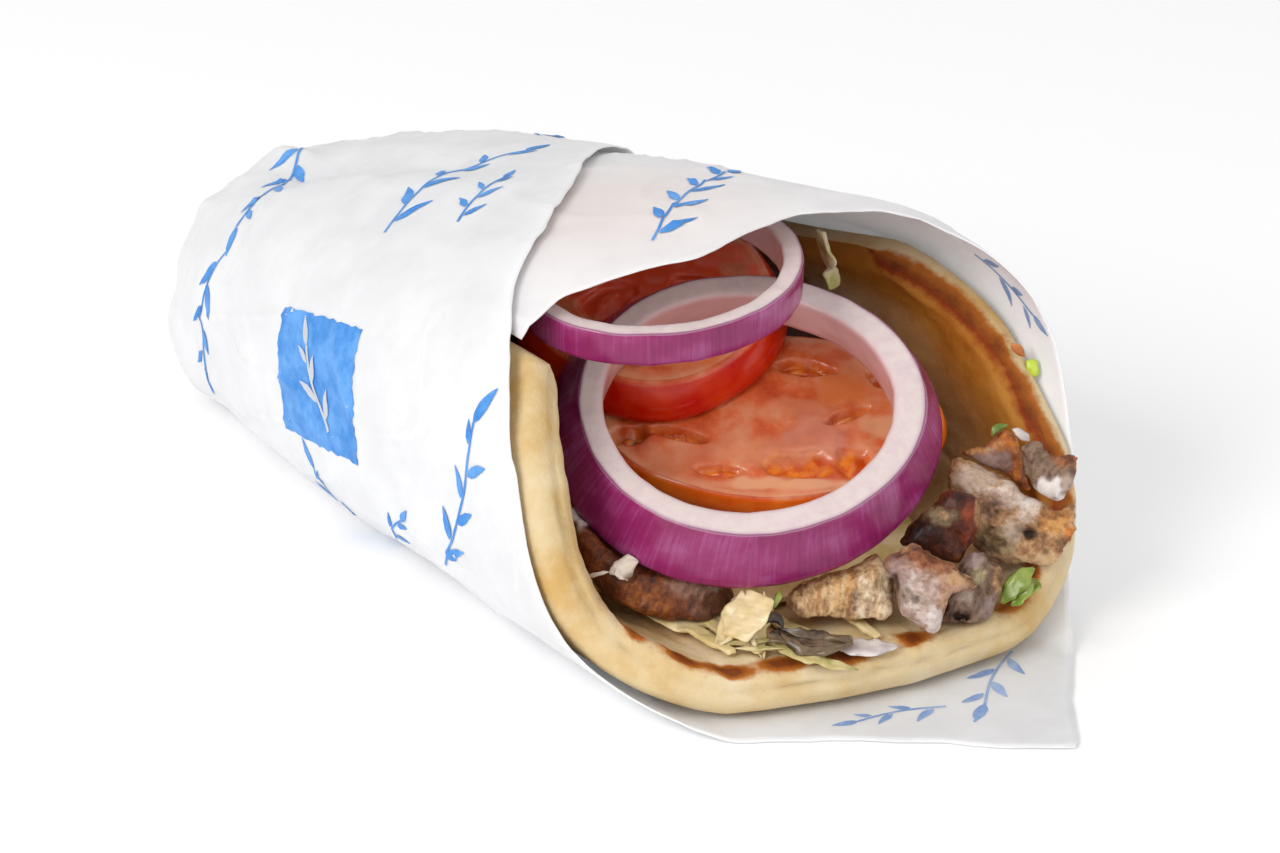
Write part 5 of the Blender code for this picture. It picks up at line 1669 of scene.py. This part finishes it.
class Wrap:
    """The whole wrap, built from the outside in."""

    # The blue field on both sides of the roll, and how high its ink and its pale sprig lie.
    FIELDS = (((0.790, 30.0), -6.0), ((1.265, 17.0), 4.0))
    FIELD_SIZE, FIELD_LIFT = (24.0, 28.0), 0.08
    SPRIG_LIFT, SPRIG_STEM = 0.26, 0.9
    FIELD_SPRIGS = (
        ((1.236, 12.0), (1.288, 20.0), 7.0, 1.0, 31), ((0.762, 25.0), (0.816, 33.0), 7.0, 1.0, 33),
    )
    # Sprigs whose ink shows through the sheet from its other face.
    UNDER_SPRIGS = (
        ((0.905, -81.0), (0.965, -93.0), 8.0, 1.0, 25), ((0.985, -90.0), (1.040, -86.0), 6.0, 1.0, 27),
        ((0.686, -36.0), (0.705, -50.0), 6.0, 0.5, 29),
    )
    # Sprigs: foot, tip, leaf length, bow, and the seed of the random layout.
    SPRIGS = (
        ((1.378, 19.0), (1.520, 30.5), 9.0, 3.0, 3), ((1.186, -22.5), (1.296, -34.5), 9.0, -3.0, 5),
        ((1.462, 81.0), (1.345, 64.0), 8.0, 2.0, 7), ((1.325, 61.0), (1.215, 66.0), 8.0, -2.0, 9),
        ((0.455, -30.6), (0.572, -8.0), 8.5, 1.5, 11), ((1.112, 12.0), (1.196, 21.0), 8.0, 2.0, 13),
        ((0.620, 34.0), (0.730, 26.0), 9.0, 2.0, 15), ((0.770, -30.0), (0.860, -22.0), 9.0, 2.0, 17),
        ((1.590, 50.0), (1.700, 78.0), 9.0, 2.0, 21), ((1.405, 6.0), (1.465, 16.0), 6.0, 1.0, 23),
        ((1.170, -2.0), (1.200, -10.0), 6.0, 1.0, 35), ((0.900, 52.0), (1.010, 60.0), 9.0, 2.0, 37),
    )
    # Meat pieces: node, name, slot, base tone and places of other colour. Dark spots, and the grey ones beside
    # them, with a negative lift sit in sunk pits and are painted shade there.
    MEATS = (
        MeatPiece("meat_brown_slab", "meat_slab", "meat_brown", Tone.ROAST, (
            (3.6, -5.6, 4.3, 3.3, Tone.ROAST_DEEP, 0.7, 0.0), (6.0, -12.2, 5.4, 3.8, Tone.SPECK, 0.45, 0.0),
            (-0.6, -12.2, 3.6, 4.3, Tone.ROAST_DEEP, 0.6, 0.0), (14.3, -9.7, 4.6, 2.6, Tone.FILM, 0.3, 0.1),
            (16.9, -13.2, 3.3, 4.3, Tone.GREY, 0.4, 0.0), (18.4, -9.7, 2.0, 1.3, Tone.FILM, 0.6, 0.0),
            (7.7, -17.5, 11.5, 1.3, Tone.DARK, 0.8, 0.0), (-3.4, 2.6, 2.8, 3.2, Tone.SAUCE, 0.9, 0.3),
        ), (0.5, 1.0), 0.45),
        MeatPiece("meat_chicken_front", "meat_chicken", "meat_pale", Tone.CREAM, (
            (40.7, -10.6, 1.0, 5.6, Tone.GOLD, 0.6, 0.0), (38.7, -10.9, 0.8, 3.6, Tone.GOLD, 0.45, 0.0),
            (35.4, -11.9, 0.8, 3.0, Tone.GOLD, 0.4, 0.0), (42.9, -12.9, 2.0, 4.9, Tone.PALE, 0.9, 0.3),
            (46.6, -12.2, 2.3, 5.6, Tone.PALE, 0.9, 0.3), (43.6, -17.0, 2.6, 1.2, Tone.ORANGE, 0.8, 0.0),
            (38.2, -17.0, 4.9, 0.9, Tone.ORANGE, 0.55, 0.0), (31.6, -14.7, 2.0, 2.3, Tone.PINK, 0.5, 0.0),
        ), (0.15, 1.0), 0.8),
        MeatPiece("meat_sauced_middle", "meat_sauced", "meat_grey", Tone.PINK, (
            (48.3, -8.8, 2.8, 4.6, Tone.LILAC, 0.7, 0.15), (52.0, -12.0, 3.8, 5.0, Tone.SAUCE, 0.55, 0.4),
            (54.4, -15.0, 1.6, 2.6, Tone.SAUCE, 0.8, 0.4), (48.0, -9.4, 0.9, 1.5, Tone.DARK, 0.75, -0.5),
            (49.7, -11.1, 1.1, 1.5, Tone.GREY, 0.7, -0.4), (51.1, -12.0, 0.8, 0.8, Tone.DARK, 0.5, -0.3),
            (52.8, -4.6, 3.2, 2.0, Tone.CRUST, 0.9, 0.1), (55.7, -6.3, 3.8, 1.6, Tone.CRUST, 0.8, 0.0),
            (58.5, -8.4, 3.3, 1.5, Tone.TAN, 0.9, 0.2), (61.0, -9.7, 1.3, 1.0, Tone.TAN, 0.9, 0.0),
            (49.5, -3.8, 1.6, 1.0, Tone.TAN, 0.6, 0.0), (55.9, -11.7, 0.8, 2.3, Tone.TAN, 0.7, 0.1),
        )),
        MeatPiece("meat_crusted_right", "meat_crusted", "meat_grey", Tone.GREY, (
            (61.5, -5.7, 2.3, 1.6, Tone.LILAC, 0.8, 0.1), (65.7, -8.7, 1.5, 2.6, Tone.TAN, 0.8, 0.2),
            (63.7, -14.0, 2.0, 2.6, Tone.LILAC, 0.7, 0.1), (58.2, -18.9, 3.9, 1.5, Tone.TAN, 0.8, 0.15),
            (62.7, -18.3, 2.3, 1.6, Tone.PINK, 0.7, 0.0), (56.2, -16.5, 1.1, 2.0, Tone.TAN, 0.7, 0.1),
            (62.0, -8.2, 1.5, 1.3, Tone.YELLOW, 0.4, 0.0), (59.0, -12.0, 2.6, 2.3, Tone.FILM, 0.9, 0.1),
            (58.4, -13.7, 2.3, 1.5, Tone.GREY, 0.8, -0.5), (59.4, -15.2, 1.4, 1.0, Tone.DARK, 0.95, -1.2),
        ), (0.4, 1.0)),
        MeatPiece("meat_dark_brown", "meat_dark", "meat_brown", Tone.ROAST_DEEP, (
            (53.0, -2.2, 3.9, 3.3, Tone.DARK, 0.7, 0.0), (59.7, 4.2, 3.6, 2.3, Tone.ROAST_DEEP, 0.8, 0.0),
            (61.1, -0.9, 2.0, 4.9, Tone.RUST, 0.9, 0.1), (62.2, 2.1, 0.6, 3.6, Tone.TAN, 0.9, 0.25),
            (59.1, -5.9, 1.3, 1.3, Tone.CRUST, 0.7, 0.0), (56.2, 1.4, 2.8, 1.9, Tone.OLIVE, 0.9, 0.4),
            (56.7, 1.6, 1.0, 0.8, Tone.TAN, 0.6, 0.4), (56.9, 5.5, 2.0, 0.8, Tone.RUST, 0.6, 0.0),
        ), (0.2, 1.0), 0.5),
        MeatPiece("meat_long_pale", "meat_long", "meat_pale", Tone.TAN, (
            (66.4, -6.3, 3.6, 1.0, Tone.GREY, 0.6, 0.0), (66.4, -2.6, 4.3, 3.0, Tone.OLIVE, 0.75, -0.2),
            (63.9, -4.6, 2.6, 2.0, Tone.GREY, 0.7, 0.0), (68.9, -0.9, 2.3, 2.6, Tone.FILM, 0.6, 0.0),
            (62.2, 7.8, 4.6, 2.8, Tone.FILM, 0.75, 0.3), (68.1, 4.9, 5.6, 2.6, Tone.SAUCE, 0.6, 0.4),
            (71.5, 2.1, 3.0, 2.3, Tone.SAUCE, 0.5, 0.3), (63.9, 3.2, 3.0, 2.3, Tone.PINK, 0.8, 0.1),
            (75.6, 0.7, 3.3, 3.0, Tone.GOLD, 0.85, 0.1), (79.0, -1.8, 2.3, 1.6, Tone.ORANGE, 0.8, 0.1),
            (73.1, -3.5, 4.3, 2.3, Tone.TAN, 0.8, 0.0), (72.3, -6.3, 4.3, 1.3, Tone.CREAM, 0.7, 0.2),
            (76.5, -6.0, 2.0, 1.3, Tone.CREAM, 0.8, 0.2), (71.5, -1.6, 1.1, 1.0, Tone.DARK, 0.95, -1.0),
            (74.0, -4.6, 0.8, 0.7, Tone.DARK, 0.6, -0.6),
        ), (1.0, -0.45)),
        MeatPiece("meat_crust_sliver", "meat_sliver", "meat_pale", Tone.CRUST, (
            (64.3, 10.8, 3.3, 2.3, Tone.LILAC, 0.8, 0.1), (67.3, 10.4, 2.0, 2.3, Tone.LILAC, 0.7, 0.0),
            (68.5, 14.1, 1.8, 1.8, Tone.ORANGE, 0.9, 0.2), (69.9, 9.9, 0.8, 4.3, Tone.ORANGE, 0.9, 0.3),
            (71.9, 6.0, 1.1, 1.3, Tone.ORANGE, 0.9, 0.2), (62.6, 12.4, 2.6, 0.8, Tone.GOLD, 0.7, 0.0),
            (66.8, 13.1, 1.3, 1.1, Tone.GOLD, 0.6, 0.0),
        ), (1.0, -0.6), 0.6),
        MeatPiece("meat_grey_back", "meat_grey", "meat_grey", Tone.GREY, (
            (76.6, 11.6, 2.3, 2.3, Tone.CRUST, 0.8, 0.1), (79.3, 10.8, 0.9, 2.6, Tone.ORANGE, 0.85, 0.1),
            (73.8, 14.2, 3.0, 0.8, Tone.CRUST, 0.7, 0.0), (77.6, 7.1, 1.6, 1.6, Tone.FILM, 0.7, 0.2),
            (74.3, 6.1, 2.6, 2.0, Tone.SAUCE, 1.0, 0.6), (76.3, 4.1, 1.3, 1.6, Tone.SAUCE, 0.95, 0.4),
            (74.6, 13.6, 0.5, 0.5, Tone.DARK, 0.9, 0.0), (78.0, 12.8, 0.5, 0.5, Tone.DARK, 0.9, 0.0),
        ), (0.7, 1.0)),
        MeatPiece("meat_filling", "meat_filling_bed", "meat_filling", Tone.ROAST_DEEP, (), cell=1.2),
    )

    # Cut face of the front slice: seed pockets, then places of other colour, both from the slice's middle.
    FRONT_POCKETS = (
        (10.6, -4.5, 3.6, 8.4, 8.0, 0.8), (10.4, -14.0, 3.6, 3.6, 30.0, 1.1),
        (12.0, 8.6, 1.3, 5.0, 4.0, 1.4), (4.6, 24.5, 2.2, 4.0, -14.0, 3.8),
        (4.4, 15.6, 1.4, 5.0, 16.0, 2.4), (0.2, -13.4, 1.2, 4.4, -24.0, 2.0),
        (-7.8, -21.0, 2.6, 5.0, 24.0, 3.0), (-2.4, -24.2, 3.0, 2.6, 10.0, 3.4),
        (-10.5, -6.0, 1.8, 5.5, 10.0, 2.2),
    )
    FRONT_HAZES = (
        (4.8, -8.0, 6.0, 8.0, TomatoTint.PINK, 0.55), (7.5, 4.0, 4.2, 9.0, TomatoTint.PALE, 0.45),
        (15.0, -2.0, 1.8, 15.0, TomatoTint.PALE, 0.95), (-1.0, -6.0, 3.4, 8.0, TomatoTint.PALE, 0.4),
        (2.4, -20.5, 3.0, 6.0, TomatoTint.PALE, 0.9), (-6.0, -12.0, 4.6, 6.0, TomatoTint.PEACH, 0.8),
        (9.6, 16.5, 4.2, 6.2, TomatoTint.DEEP, 0.45), (9.5, -22.5, 3.0, 4.0, TomatoTint.DEEP, 0.6),
        (5.2, 23.0, 1.4, 1.8, TomatoTint.GREEN, 0.95), (-9.4, -22.0, 2.4, 4.4, TomatoTint.ORANGE, 0.9),
    )
    BACK_POCKETS = ((0.0, -8.0, 4.0, 6.0, 20.0, 1.2), (2.0, 8.0, 4.0, 6.0, -30.0, 1.2))
    # The back slice's first haze is bright red: its own red plus painted light where the sheet shades it.
    BACK_HAZES = (
        (-2.0, 0.0, 15.0, 22.0, TomatoTint.RED, 0.9), (14.5, 4.0, 3.0, 5.0, TomatoTint.DEEP, 0.9),
        (14.5, -6.0, 2.4, 7.0, TomatoTint.PEACH, 0.8),
    )
    # The front slice's skin is brighter and more orange than the back slice's: partly its own orange, partly
    # painted light where it lies in shadow.
    SLICES = (
        (TomatoSlice("tomato_slice_front", (-11.0, -3.6, -13.2), (18.5, 29.8), (18.5, 29.8), 5.4, 0.012,
                     FRONT_POCKETS, FRONT_HAZES),
         RipeTomato("orange_side_tomato_with_painted_light", skin="F25C08", skin_light="FF8618"), "tomato_front"),
        (TomatoSlice("tomato_slice_back", (-32.5, 17.0, -7.4), (24.3, 24.3), (20.4, 21.4), 7.0, 0.014,
                     BACK_POCKETS, BACK_HAZES, seed=37), RipeTomato(), "tomato_back"),
    )
    LIMP = LettuceLeaf("limp_leaf", pale="E2CDA0", green="D6BE86", deep="B9AE5E")
    WILTED = LettuceLeaf("wilted_leaf", pale="6E5840", green="35261A", deep="1A100C")
    SHADED = LettuceLeaf("shaded_leaf", pale="CDBA86", green="A99C5C", deep="74733A")
    CRISP = LettuceLeaf("crisp_leaf", pale="98A24E", green="6E822C", deep="3C5416")
    LIME = LettuceLeaf("lime_leaf", pale="C9DA4E", green="A3C424", deep="7FA312")
    MILKY = LettuceLeaf("milky_leaf", pale="E6D8C6", green="D2C0A6", deep="BCA988")
    TOASTED = LettuceLeaf("toast_crumb", pale="D08A4A", green="B9682A", deep="8A4416")
    LEAVES = (
        (Leaf("lettuce", "lettuce_bed"), LIMP, "lettuce"),
        (Leaf("leaf_hanging", "leaf_hanging_piece"), LIMP, "leaf"),
        (Leaf("leaf_green_right", "leaf_crisp"), CRISP, "leaf"),
        (Leaf("leaf_pale_back", "leaf_tall"), LettuceLeaf(), "leaf"),
        (Leaf("leaf_dark_curl", "leaf_wilted"), WILTED, "leaf"),
    )
    # Small loose pieces with their finish and slot; a strip is its path, width, thickness, ruffle and turn.
    SCRAPS = (
        (Ribbon("lip_shreds", (
            (((-22.5, -67.0, 10.8), (-18.5, -70.2, 11.2), (-13.0, -72.8, 11.3)), 1.5, 0.4, 0.3, 8.0),
            (((-21.6, -69.4, 10.6), (-17.5, -73.4, 11.0), (-11.8, -76.2, 11.0)), 1.2, 0.4, 0.3, 0.0),
            (((-15.2, -70.0, 11.0), (-14.5, -75.0, 11.0), (-12.9, -79.6, 10.6), (-9.5, -82.6, 9.6),
              (-6.5, -84.0, 8.6)), 2.3, 0.5, 0.25, 24.0),
        ), 41), SHADED, "lettuce"),
        (Ribbon("hanging_prongs", (
            (((-16.1, -64.7, 17.6), (-18.1, -65.9, 14.6), (-20.7, -66.8, 11.7), (-22.9, -67.2, 9.8)),
             3.8, 0.5, 0.7, 0.0),
            (((-13.3, -67.0, 17.7), (-14.7, -68.8, 14.8), (-17.0, -70.3, 11.7), (-18.2, -73.7, 9.3)),
             3.0, 0.5, 0.7, 0.0),
        ), 43), LIMP, "leaf"),
        (Ribbon("leaf_scrap", (
            (((-32.9, -50.6, 19.6), (-31.2, -51.4, 20.7), (-28.6, -52.6, 21.6)), 2.8, 0.3, 0.8, 66.0),
            (((-31.6, -50.9, 20.9), (-30.9, -51.9, 19.4), (-30.6, -52.6, 18.4)), 2.4, 0.3, 0.5, 10.0),
            (((-35.7, -48.1, 18.9), (-34.6, -49.6, 19.6), (-32.9, -50.6, 19.9)), 0.7, 0.35, 0.1, 62.0),
        ), 45, 0.9), MILKY, "leaf"),
        (Ribbon("dark_curls", (
            (((-17.4, -69.3, 12.5), (-16.3, -69.8, 14.0), (-14.8, -70.4, 15.2), (-13.5, -71.5, 14.7),
              (-13.5, -72.6, 13.3)), 1.8, 0.8, 0.5, 60.0),
            (((-14.0, -72.5, 13.4), (-11.9, -75.2, 12.9), (-8.9, -78.0, 12.9), (-6.7, -80.7, 12.3)),
             1.7, 0.8, 0.5, 55.0),
            (((-14.0, -71.6, 13.4), (-14.2, -74.7, 12.1), (-13.4, -77.8, 11.3), (-10.5, -80.2, 11.5),
              (-7.1, -81.5, 12.2)), 1.9, 0.8, 0.6, 40.0),
        ), 47), WILTED, "leaf"),
        (Ribbon("green_blade", (
            (((23.1, -84.0, 12.1), (24.2, -84.6, 14.6), (26.3, -85.0, 16.6), (28.9, -84.9, 17.5)),
             3.6, 0.5, 0.5, 35.0),
            (((24.1, -85.4, 12.0), (25.6, -86.5, 14.3), (27.7, -86.5, 15.5)), 2.4, 0.5, 0.4, 35.0),
        ), 57), CRISP, "leaf"),
        (Ribbon("green_bits", (
            (((-10.7, -67.5, 17.4), (-11.6, -68.3, 16.1), (-13.0, -68.8, 14.7)), 1.5, 0.6, 0.2, 20.0),
            (((35.1, -64.8, 32.2), (36.1, -64.7, 33.6), (37.9, -65.7, 33.9)), 1.1, 0.7, 0.3, 60.0),
        ), 49), CRISP, "leaf"),
        (Ribbon("lime_bit", (
            (((52.9, -51.6, 36.7), (53.8, -52.7, 36.0), (53.7, -53.5, 34.2)), 2.6, 1.4, 0.2, 62.0),
        ), 51), LIME, "leaf"),
        (Ribbon("sauce_drops", (
            (((-7.0, -78.4, 10.3), (-2.5, -81.0, 10.2), (2.4, -82.8, 9.8)), 4.4, 0.9, 0.1, 6.0),
            (((38.0, -66.7, 33.5), (39.1, -67.7, 33.0), (39.9, -69.0, 31.7)), 1.7, 1.0, 0.3, 60.0),
        ), 53), Sauce(), "meat_pale"),
        (Ribbon("toast_crumb", (
            (((50.9, -49.8, 40.0), (51.5, -50.8, 38.9), (52.3, -52.0, 37.8)), 1.5, 0.9, 0.2, 60.0),
        ), 55), TOASTED, "pita"),
    )

    def sheet(self) -> None:
        """Build the paper, the tuck in its tail and its print."""
        paper = PaperSheet()
        settle(paper.build(), WrapPaper(), "paper", "paper")
        settle(TailTuck().build(), WrapPaper("crumpled_paper"), "paper")
        ink = BlueBorder(paper)
        for sprig in self.SPRIGS:
            ink.sprig(*sprig)
        for middle, turn in self.FIELDS:
            ink.field(middle, self.FIELD_SIZE, math.radians(turn), self.FIELD_LIFT)
        settle(ink.make("print_borders"), PrintInk(), "paper")
        for sprig in self.UNDER_SPRIGS:
            ink.sprig(*sprig, -paper.thickness - ink.lift)
        shown = PrintInk("ink_through_paper", full="7393C6", light="9FB6DA")
        settle(ink.make("print_shown_through"), shown, "paper")
        for sprig in self.FIELD_SPRIGS:
            ink.sprig(*sprig, self.SPRIG_LIFT, self.SPRIG_STEM)
        settle(ink.make("print_pale_sprig"), WrapPaper("bare_paper_in_print"), "paper")

    def food(self) -> None:
        """Build the bread and everything in it."""
        settle(Pita().build(), PitaCrumb(), "pita", "pita")
        settle(large_ring().build(), RedOnion(), "onion", "onion_ring_large")
        settle(small_ring().build(), RedOnion(), "onion", "onion_ring_small")
        for cut, finish, node in self.SLICES:
            settle(cut.build(), finish, "tomato", node)
        for piece in self.MEATS:
            settle(piece.build(), RoastMeat(), piece.slot, piece.node)
        for leaf, finish, slot in self.LEAVES:
            settle(leaf.build(), finish, slot, leaf.node)
        for scrap, finish, slot in self.SCRAPS:
            settle(scrap.build(), finish, slot)


def main() -> None:
    """Build the studio and the wrap."""
    logging.basicConfig(level=logging.INFO, format="%(message)s")
    Studio().build()
    wrap = Wrap()
    wrap.sheet()
    wrap.food()
    deselect()


if __name__ == "__main__":
    main()
